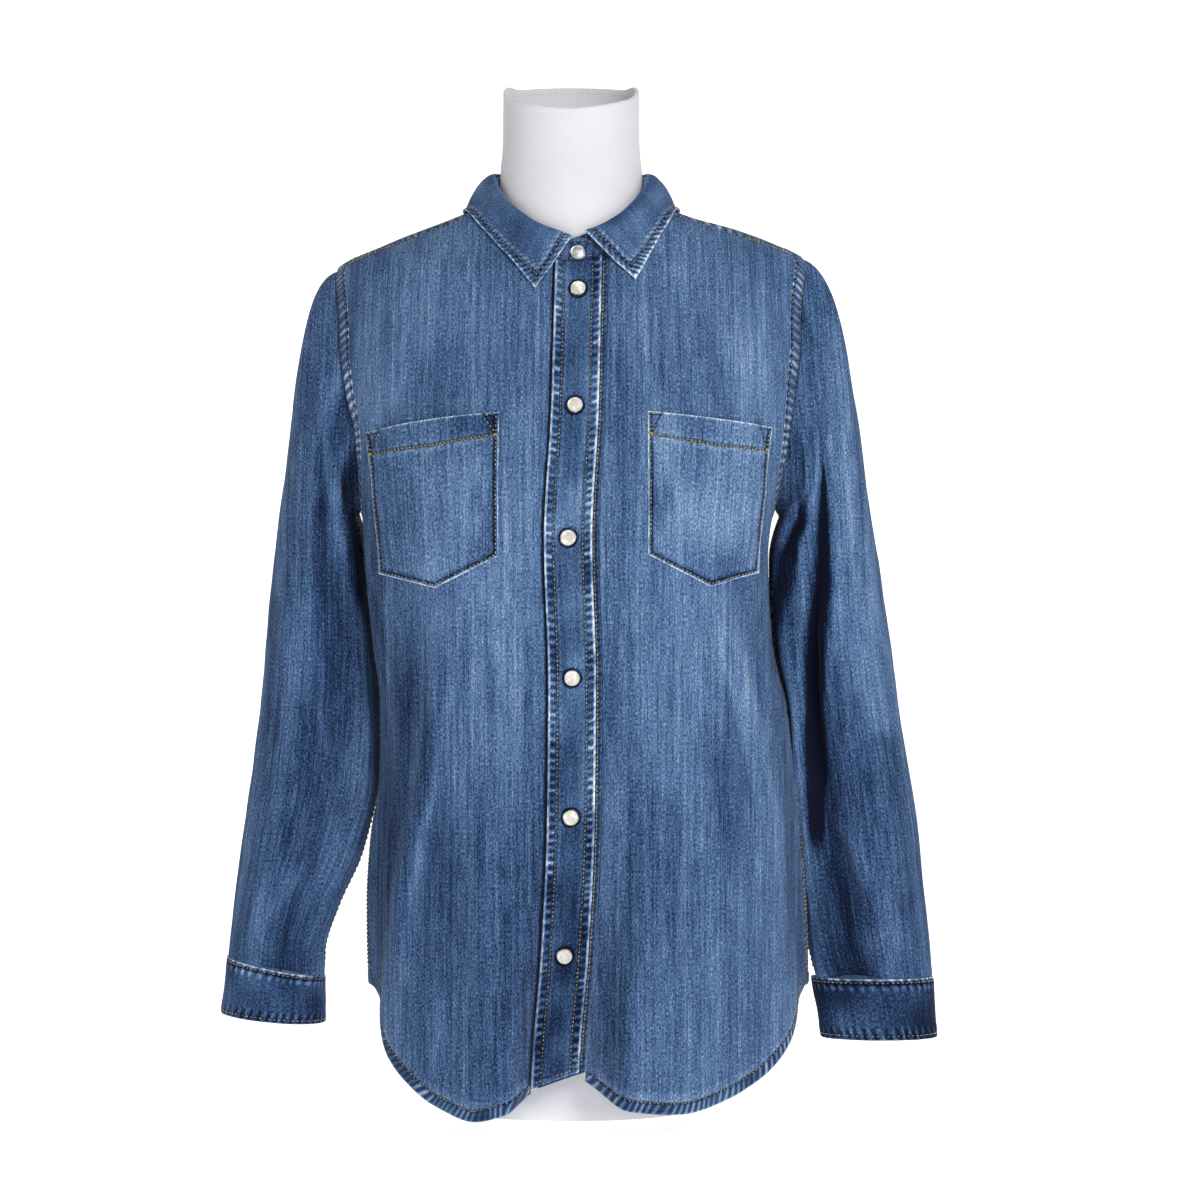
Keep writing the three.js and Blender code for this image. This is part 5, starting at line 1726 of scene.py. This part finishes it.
leafCloth = clothGrid("collar_leaf_cloth", 330, 48, leafSurface, (430, 60), facing=-1, look=leafFading)
addWall(leafCloth, clothSizes["bandWall"], materials["collar"], materials["inside"])
keepPiece(leafCloth, "collar_leaf")
print("collar made")


# Snaps: a pearl cap crimped in a thin metal ring
snapLook = dict(radius=6.3, rim=0.5, height=2.3, steps=48)


def spinProfile(name, profile, steps, material):
    bm = bmesh.new()
    verts = [bm.verts.new((r * mm, 0, h * mm)) for r, h in profile]
    edges = [bm.edges.new(pair) for pair in zip(verts, verts[1:])]
    bmesh.ops.spin(bm, geom=verts + edges, cent=(0, 0, 0), axis=(0, 0, 1), angle=2 * math.pi, steps=steps,
                   use_merge=True, use_duplicate=False)
    bmesh.ops.remove_doubles(bm, verts=bm.verts, dist=1e-6)
    bmesh.ops.recalc_face_normals(bm, faces=bm.faces)
    mesh = bpy.data.meshes.new(name)
    bm.to_mesh(mesh)
    bm.free()
    mesh.shade_smooth()
    mesh.set_sharp_from_angle(angle=math.radians(50))
    mesh.materials.append(material)
    piece = bpy.data.objects.new(name, mesh)
    bpy.context.collection.objects.link(piece)
    return piece


def placeOn(piece, point, normal):
    turn = Vector((0, 0, 1)).rotation_difference(Vector(normal))
    matrix = turn.to_matrix().to_4x4()
    matrix.translation = Vector((np.asarray(point) - (0, 0, underside)) * mm)
    piece.data.transform(matrix)


def addSnap(node, point, normal, cap):
    r, rim, h = snapLook["radius"], snapLook["rim"], snapLook["height"]
    ring = spinProfile(node + "_ring", [
        (0, -0.3), (r - 0.3, -0.3), (r, 0.0), (r, 0.7), (r - rim, 1.15), (r - rim - 0.2, 0.8), (0, 0.8),
    ], snapLook["steps"], materials["snapRim"])
    dome = spinProfile(node + "_cap", [
        (0, 0.9), (r - rim - 0.15, 0.9), (r - rim, 1.25), (r - rim - 0.1, 1.7), (r - rim - 0.45, h - 0.15),
        (r - rim - 0.8, h - 0.1), (r - rim - 1.1, h - 0.28), (r - rim - 1.3, h - 0.3), (r - rim - 2.2, h - 0.08),
        (1.4, h), (0, h),
    ], snapLook["steps"], cap)
    for piece in (ring, dome):
        placeOn(piece, point, normal)
    keepPiece(ring, None, "snap")
    keepPiece(dome, node, "snap")


def pointAndNormal(surface, u, v, facing):
    u, v = np.array([u]), np.array([v])
    return surface(u, v)[0], normalOf(surface, u, v, facing, 2e-3)[0]


for i, z in enumerate(snapHeights):
    point, normal = pointAndNormal(placketSurface, 0.5, (z - 50.5) / 629.5, 1)
    addSnap("snap_" + str(i + 1), point + normal * 0.3, normal, materials["pearl"])
neckShare = (angleAtFront(-1, 5.5) - standLeft) / (2 * math.pi - standLeft - standRight)
point, normal = pointAndNormal(standSurface, neckShare, 0.32, -1)
addSnap("snap_neck", point + normal * 0.3, normal, materials["silverCap"])
for side, word in ((-1, "left"), (1, "right")):
    point, normal = pointAndNormal(cuffSurfaces[side], cuffLook["snapAt"], 0.5, side)
    addSnap("snap_cuff_" + word, point + normal * 0.3, normal, materials["pearl"])
print("snaps made")


# The dress form: rings up to its shoulders, the cloth's shoulder line lowered, then the hollow neck
formLook = dict(drop=3.6, topFront=804, topBack=840, recess=24, rim=3.5, ear=5.5)


def ovalReach(x, y, half, front, back):
    depth = np.where(y < 0, front, back)
    return np.hypot(x, y) / np.hypot(x / half, y / depth)


def formPoint(turn, z):
    cloth = z + formLook["drop"]
    onShoulders = z > 676
    side = np.where(turn > math.pi, -1, 1)
    widest = float(formBody["half"](676)) - (z - 676) * 0.5
    half = np.where(onShoulders, np.minimum(widest, reachOf(side, cloth)), formBody["half"](z))
    front = np.where(onShoulders, body["front"](cloth) - formLook["drop"], formBody["front"](z))
    back = np.where(onShoulders, body["back"](cloth) - formLook["drop"], formBody["back"](z))
    depth = np.where(np.cos(turn) > 0, front, back)
    x = half * np.sin(turn)
    y = -depth * np.cos(turn)
    neck = ovalReach(x, y, formNeckCurves["half"](z), formNeckCurves["front"](z), formNeckCurves["back"](z))
    reach = np.hypot(x, y)
    wanted = np.where(onShoulders, np.where(z >= 745, neck, np.maximum(neck, reach)), reach)
    scale = wanted / np.maximum(reach, 1e-6)
    return stack(x * scale, y * scale, z)


def formSurface(u, v):
    turn = u * 2 * math.pi
    z = lerp(12, 798, np.clip((v - 0.04) / 0.86, 0, 1))
    outer = formPoint(turn, z)
    flat = np.clip(v / 0.04, 0, 1)[..., None] * (1, 1, 0) + (0, 0, 1)
    outer = outer * np.where((v < 0.04)[..., None], flat, 1)
    top = formPoint(turn, spread(798, turn))
    x, y = top[..., 0], top[..., 1]
    share = np.clip((y + 52) / 105, 0, 1) ** 0.8
    slant = lerp(formLook["topFront"], formLook["topBack"], share)
    ears = formLook["ear"] * hump((np.abs(x) - 50) / 11) * hump((y - 6) / 34)
    rimTop = slant + ears
    wrinkle = 0.5 * softNoise(turn * 2.1, v * 24, 7) * hump((v - 0.93) / 0.05)

    def ring(inset, height):
        scale = 1 - (inset + wrinkle * 0.5) / 53
        return stack(x * scale, y * scale, height)

    rise = np.clip((v - 0.90) / 0.05, 0, 1)
    wall = ring(0 * x, lerp(spread(798, x), rimTop - 1.8, rise))
    roll = np.clip((v - 0.95) / 0.02, 0, 1)
    lip = ring(formLook["rim"] / 2 * (1 - np.cos(np.pi * roll)), rimTop - 1.8 + 1.8 * np.sin(np.pi * roll))
    down = np.clip((v - 0.97) / 0.015, 0, 1)
    inner = ring(formLook["rim"] + down, lerp(rimTop - 1.8, slant - formLook["recess"], down))
    close = np.clip((v - 0.985) / 0.015, 0, 1)
    floor = ring(0 * x + formLook["rim"] + 1, slant - formLook["recess"])
    centre = stack(0 * x, 0 * y, lerp(formLook["topFront"], formLook["topBack"], 0.5**0.8) - formLook["recess"])
    floor = lerp(floor, centre, close[..., None])
    result = np.where((v > 0.90)[..., None], wall, outer)
    result = np.where((v > 0.95)[..., None], lip, result)
    result = np.where((v > 0.97)[..., None], inner, result)
    return np.where((v > 0.985)[..., None], floor, result)


formCloth = clothGrid("dress_form_cover", 144, 200, formSurface, (600, 900), facing=1, loop=True, poles=True)
formCloth.data.materials.append(materials["form"])
formCloth.data.set_sharp_from_angle(angle=math.radians(48))
keepPiece(formCloth, "dress_form", "form")
print("dress form made")


# Seams of the body

def bodySide(side):
    def surface(turn, z):
        return bodyPoint(side, turn, z)

    return surface


leftBody, rightBody = bodySide(-1), bodySide(1)
bodySurfaces = {-1: leftBody, 1: rightBody}
up, down, forward = (0, 0, 1), (0, 0, -1), (0, -1, 0)


def armholePath(side):
    hole = armholes[side]

    def path(s):
        angle = s * 2 * math.pi
        turn = quarter - clothSizes["armholeReach"] * np.sin(angle)
        return turn, hole["middle"] + hole["halfHeight"] * np.cos(angle)

    return path


def awayFrom(side):
    hole = armholes[side]
    middle = bodyPoint(side, np.array(quarter), np.array(float(hole["middle"])))

    def aim(points):
        away = points - middle
        away[..., 0] = 0
        return away

    return aim


def uprightPath(turn, low, high):
    def path(s):
        return spread(turn, s), lerp(low, high, s)

    return path


def edgePath(along, across):
    # u and v each run between two numbers
    def path(s):
        return lerp(along[0], along[1], s), lerp(across[0], across[1], s)

    return path


def bentPath(corners):
    shares = np.linspace(0, 1, len(corners))

    def path(s):
        return np.interp(s, shares, [c[0] for c in corners]), np.interp(s, shares, [c[1] for c in corners])

    return path


def shoulderPath(armTop):
    return bentPath([(math.radians(75), armTop + 2.5), (math.radians(66), 708), (math.radians(59), 738)])


seamTrims = {}
underarms = {}
for side, word in ((-1, "left"), (1, "right")):
    surface = bodySurfaces[side]
    hole = armholes[side]
    armTop = hole["middle"] + hole["halfHeight"]
    armhole = seamBand("armhole_seam_" + word, surface, armholePath(side), 0.6, 13.6, awayFrom(side), side,
                       rise=0.75, skew=0.15, seed=100 + side, fade=0.22, lines=(2.2, 11.0))
    sideSeam = seamBand("side_seam_" + word, surface, uprightPath(quarter, 114, hole["middle"] - hole["halfHeight"]),
                        -2, 6, forward, side, rise=0.4, seed=110 + side, lines=(1.5, 6.5))
    shoulder = seamBand("shoulder_seam_" + word, surface, shoulderPath(armTop), -5, 6.5, forward, side,
                        rise=0.45, skew=0.3, seed=120 + side, fade=0.1, lines=(3.4, 10.8))
    underarm = seamBand("underarm_seam_" + word, sleeveSurfaces[side], edgePath((0.5, 0.5), (0.04, 0.995)),
                        -4, 4, forward, side, rise=0.35, seed=130 + side)
    seamTrims[side] = [armhole, sideSeam, shoulder]
    underarms[side] = underarm
print("seams made")

hemLook = dict(deep=9.5, seed=140)
hemLeft = seamBand("hem_left", leftFront, edgePath((0.0, 1.0), (0.0, 0.0)), 0.2, hemLook["deep"], up, -1,
                   rise=0.55, skew=0.45, seed=140, paleEdge=0, lines=(8.3,))
hemRight = seamBand("hem_right", rightFront, edgePath((0.0, 1.0), (0.0, 0.0)), 0.2, hemLook["deep"], up, 1,
                    rise=0.55, skew=-0.45, seed=141, paleEdge=0, lines=(8.3,))
hemBack = seamBand("hem_back", backSurface, edgePath((0.001, 0.999), (0.0, 0.0)), 0.2, hemLook["deep"], up, -1,
                   rise=0.55, skew=0.45, seed=142, paleEdge=0, lines=(8.3,))
print("hems made")

# Stitching. Two rows run down each flat seam, and one along each hem and edge.
hemStitches = stitchPiece("hem_stitches", [
    (leftFront, edgePath((0.01, 0.995), (0.0, 0.0)), hemLook["deep"] - 1.1, up, -1),
    (rightFront, edgePath((0.01, 0.995), (0.0, 0.0)), hemLook["deep"] - 1.1, up, 1),
    (backSurface, edgePath((0.005, 0.495), (0.0, 0.0)), hemLook["deep"] - 1.1, up, -1),
    (backSurface, edgePath((0.505, 0.995), (0.0, 0.0)), hemLook["deep"] - 1.1, up, -1),
], materials["darkThread"], rise=0.3)

seamRows = []
for side, word in ((-1, "left"), (1, "right")):
    surface = bodySurfaces[side]
    hole = armholes[side]
    bottom = hole["middle"] - hole["halfHeight"]
    top = hole["middle"] + hole["halfHeight"]
    for offset in (2.8, 11.6):
        seamRows.append((surface, armholePath(side), offset, awayFrom(side), side))
    for offset in (-0.5, 4.5):
        seamRows.append((surface, uprightPath(quarter, 122, bottom - 10), offset, forward, side))
        seamRows.append((surface, shoulderPath(top), offset * 1.5 - 0.8, forward, side))
        seamRows.append((sleeveSurfaces[side], edgePath((0.5, 0.5), (0.06, 0.99)), offset - 2, forward, side))
seamStitches = stitchPiece("seam_stitches", seamRows, materials["darkThread"], rise=0.4)

placketRows = [(placketSurface, edgePath((u, u), (0.004, 0.996)), 0, up, 1)
               for u in (0.5 - placketLook["seamLine"] / 36, 0.5 + placketLook["seamLine"] / 36)]
placketRows.append((placketSurface, edgePath((0.06, 0.94), (0.006, 0.006)), 0, up, 1))
placketStitches = stitchPiece("placket_stitches", placketRows, materials["darkThread"], rise=0.16)
underbandRows = [(underbandSurface, edgePath((u, u), (0.01, 0.99)), 0, up, 1) for u in (0.9,)]
underbandStitches = stitchPiece("underband_stitches", underbandRows, materials["goldThread"], rise=0.12)


def pocketRows(node):
    pocket = pocketTables[node]
    surface = pocketSurface(pocket)
    side = pocket["side"]
    inset = 2.1
    a, b = inset / pocketWide, 1 - inset / pocketWide
    c = inset / pocketTall
    seam = 1 - pocketHem / pocketTall
    topLine = 1 - 1.6 / pocketTall
    outline = [
        edgePath((a, a), (1 - 2 / pocketTall, c)),
        edgePath((b, b), (1 - 2 / pocketTall, c)),
        edgePath((a, pocket["pointAt"]), (c, c)),
        edgePath((pocket["pointAt"], b), (c, c)),
    ]
    corner = 10.5 / pocketWide
    triangles = [
        edgePath((a, corner), (topLine, topLine)),
        edgePath((corner, a + 0.008), (topLine - 0.01, seam + 0.02)),
        edgePath((1 - corner, b), (topLine, topLine)),
        edgePath((1 - corner, b - 0.008), (topLine - 0.01, seam + 0.02)),
    ]
    dark = [(surface, path, 0, up, side) for path in outline + triangles]
    gold = [(surface, edgePath((a * 0.6, 1 - a * 0.6), (seam, seam)), 0, up, side)]
    under = [(surface, edgePath((a, b), (seam - 0.011, seam - 0.011)), 0, up, side)]
    tacks = [(surface, edgePath((x - 0.016, x + 0.016), (seam, seam)), o, up, side)
             for x in (a * 1.1, b) for o in (-0.7, 0.0, 0.7)]
    return dark, gold, under, tacks


pocketTrims = {}
for node in pocketTables:
    dark, gold, under, tacks = pocketRows(node)
    pocketTrims[node] = [
        stitchPiece(node + "_stitches", dark + under, materials["darkThread"], rise=0.14),
        stitchPiece(node + "_gold_stitches", gold + tacks, materials["goldThread"], rise=0.22),
    ]

cuffStitches = {}
for side, word in ((-1, "left"), (1, "right")):
    rows = [(cuffSurfaces[side], edgePath((0.02, 0.98), (v, v)), 0, down, side) for v in (0.062, 0.93)]
    rows.append((cuffSurfaces[side], edgePath((0.978, 0.978), (0.08, 0.92)), 0, down, side))
    cuffStitches[side] = stitchPiece("cuff_" + word + "_stitches", rows, materials["darkThread"], rise=0.14)

standStitches = stitchPiece("collar_stand_stitches", [
    (standSurface, edgePath((0.02, 0.985), (0.1, 0.1)), 0, up, -1),
    (standSurface, edgePath((0.02, 0.14), (0.9, 0.9)), 0, up, -1),
], materials["darkThread"], rise=0.14)
inEnds = leafLook["edgeSeam"] / leafLook["girth"]
inEdge = leafLook["edgeSeam"] / leafLook["deep"]
leafStitches = stitchPiece("collar_leaf_stitches", [
    (leafSurface, edgePath((inEnds, 1 - inEnds), (inEdge, inEdge)), 0, up, -1),
    (leafSurface, edgePath((inEnds, inEnds), (inEdge, 0.97)), 0, up, -1),
    (leafSurface, edgePath((1 - inEnds, 1 - inEnds), (inEdge, 0.97)), 0, up, -1),
], materials["darkThread"], rise=0.16)


# The seam round the top of the form's neck
def formNeckBand(u, v):
    turn = u * 2 * math.pi
    top = formPoint(turn, spread(798, turn))
    share = np.clip((top[..., 1] + 52) / 105, 0, 1) ** 0.8
    height = lerp(formLook["topFront"], formLook["topBack"], share) - 3 - 8 * v
    scale = 1 - (formLook["rim"] + 0.1) / 53
    return stack(top[..., 0] * scale, top[..., 1] * scale, height)


formStitches = stitchPiece("form_neck_stitches", [
    (formNeckBand, edgePath((0.0, 1.0), (0.25, 0.25)), 0, up, -1),
], materials["formThread"], dict(length=3.4, thick=0.7, pitch=4.4), rise=0.1)
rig.slot(formStitches, "form")
print("stitching made")

trims = dict(
    frontLeft=[hemLeft] + seamTrims[-1],
    frontRight=[hemRight] + seamTrims[1],
    back=[hemBack, hemStitches],
)
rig.sheet(frontLeftCloth, flat=(0.285, 0.735), held="draped", rests_on=rests, area=0.158,
         with_pieces=trims["frontLeft"])
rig.sheet(frontRightCloth, flat=(0.285, 0.735), held="draped", rests_on=rests, area=0.158,
         with_pieces=trims["frontRight"])
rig.sheet(backCloth, flat=(0.56, 0.75), held="draped", rests_on=rests, area=0.33, with_pieces=trims["back"])
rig.sheet(placketCloth, flat=(0.036, 0.63), held="draped", rests_on=["underband"], with_pieces=[placketStitches])
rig.sheet(underbandCloth, flat=(0.036, 0.63), held="draped", rests_on=rests, with_pieces=[underbandStitches])
for node in pocketTables:
    front = "front_left" if pocketTables[node]["side"] < 0 else "front_right"
    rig.sheet(pocketCloths[node], flat=(0.108, 0.128), held="draped", rests_on=[front], area=0.0122,
             with_pieces=pocketTrims[node])
for side, word in ((-1, "left"), (1, "right")):
    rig.sheet(sleeveCloths[side], flat=(0.36, 0.55), held="draped", rests_on=rests, area=0.15,
             with_pieces=[underarms[side]])
    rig.sheet(cuffCloths[side], flat=(0.262, 0.046), held="draped", rests_on=["sleeve_" + word],
             with_pieces=[cuffStitches[side]])
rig.sheet(standCloth, flat=(0.385, 0.021), held="folded", rests_on=["back"], with_pieces=[standStitches])
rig.sheet(leafCloth, flat=(0.43, 0.05), held="folded", rests_on=["collar_stand"], with_pieces=[leafStitches])


# The floor and the back of the studio are one pale sweep
sweepLook = dict(width=14.0, front=-4.2, back=3.4, high=7.5, bend=1.8)


def makeSweep():
    bm = bmesh.new()
    half = sweepLook["width"] / 2
    left = bm.verts.new((-half, sweepLook["front"], -0.0006))
    right = bm.verts.new((half, sweepLook["front"], -0.0006))
    edge = bm.edges.new((left, right))
    first = bmesh.ops.extrude_edge_only(bm, edges=[edge])
    moved = [v for v in first["geom"] if isinstance(v, bmesh.types.BMVert)]
    bmesh.ops.translate(bm, vec=(0, sweepLook["back"] - sweepLook["front"], 0), verts=moved)
    bend = [e for e in first["geom"] if isinstance(e, bmesh.types.BMEdge) and all(v in moved for v in e.verts)]
    second = bmesh.ops.extrude_edge_only(bm, edges=bend)
    raised = [v for v in second["geom"] if isinstance(v, bmesh.types.BMVert)]
    bmesh.ops.translate(bm, vec=(0, 0, sweepLook["high"]), verts=raised)
    bmesh.ops.bevel(bm, geom=bend, offset=sweepLook["bend"], offset_type="OFFSET", affect="EDGES", segments=24,
                    profile=0.5, material=-1)
    bmesh.ops.recalc_face_normals(bm, faces=bm.faces)
    mesh = bpy.data.meshes.new("studio_sweep")
    bm.to_mesh(mesh)
    bm.free()
    mesh.shade_smooth()
    material, nodes, links, shader = newMaterial("pale_sweep")
    setSockets(shader, Roughness=0.9, Specular_IOR_Level=0.1)
    shader.inputs["Base Color"].default_value = (0.93, 0.93, 0.93, 1)
    shader.inputs["Emission Color"].default_value = (1, 1, 1, 1)
    shader.inputs["Emission Strength"].default_value = 0.75
    mesh.materials.append(material)
    sweep = bpy.data.objects.new("studio_sweep", mesh)
    bpy.context.collection.objects.link(sweep)
    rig.stage(sweep)


makeSweep()

studio = dict(
    key=dict(at=(1.15, -2.35, 1.9), size=(1.1, 1.0), power=50, aim=(0, 0, 0.42)),
    fill=dict(at=(-0.6, -2.9, 1.1), size=(1.2, 1.2), power=12, aim=(0, 0, 0.4)),
    top=dict(at=(0, 0.2, 2.7), size=(2.6, 2.0), power=8, aim=(0, 0, 0.4)),
    world=0.12,
)
for name in ("key", "fill", "top"):
    light = bpy.data.lights.new(name + "_light", "AREA")
    light.shape = "RECTANGLE"
    light.size, light.size_y = studio[name]["size"]
    light.energy = studio[name]["power"]
    lamp = bpy.data.objects.new(name + "_light", light)
    lamp.location = studio[name]["at"]
    aim = Vector(studio[name]["aim"]) - lamp.location
    lamp.rotation_euler = aim.to_track_quat("-Z", "Y").to_euler()
    bpy.context.collection.objects.link(lamp)

world = bpy.data.worlds.new("studio")
world.use_nodes = True
world.node_tree.nodes["Background"].inputs["Color"].default_value = (1, 1, 1, 1)
world.node_tree.nodes["Background"].inputs["Strength"].default_value = studio["world"]
bpy.context.scene.world = world
bpy.context.scene.view_settings.view_transform = "Standard"

# The photograph's view: level, two metres off, 1200 pixels across a 36 mm frame
viewLook = dict(at=(0.023, -2.0, 0.408), lens=75, frame=36)
cameraData = bpy.data.cameras.new("photo_view")
cameraData.lens = viewLook["lens"]
cameraData.sensor_width = viewLook["frame"]
camera = bpy.data.objects.new("photo_view", cameraData)
camera.location = viewLook["at"]
camera.rotation_euler = (quarter, 0, 0)
bpy.context.collection.objects.link(camera)
bpy.context.scene.camera = camera
print("studio made")

with open("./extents.json", "w") as out:
    json.dump({"cad": np.array(cadBox).tolist(), "visual": np.array(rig.bounds()).tolist()}, out)
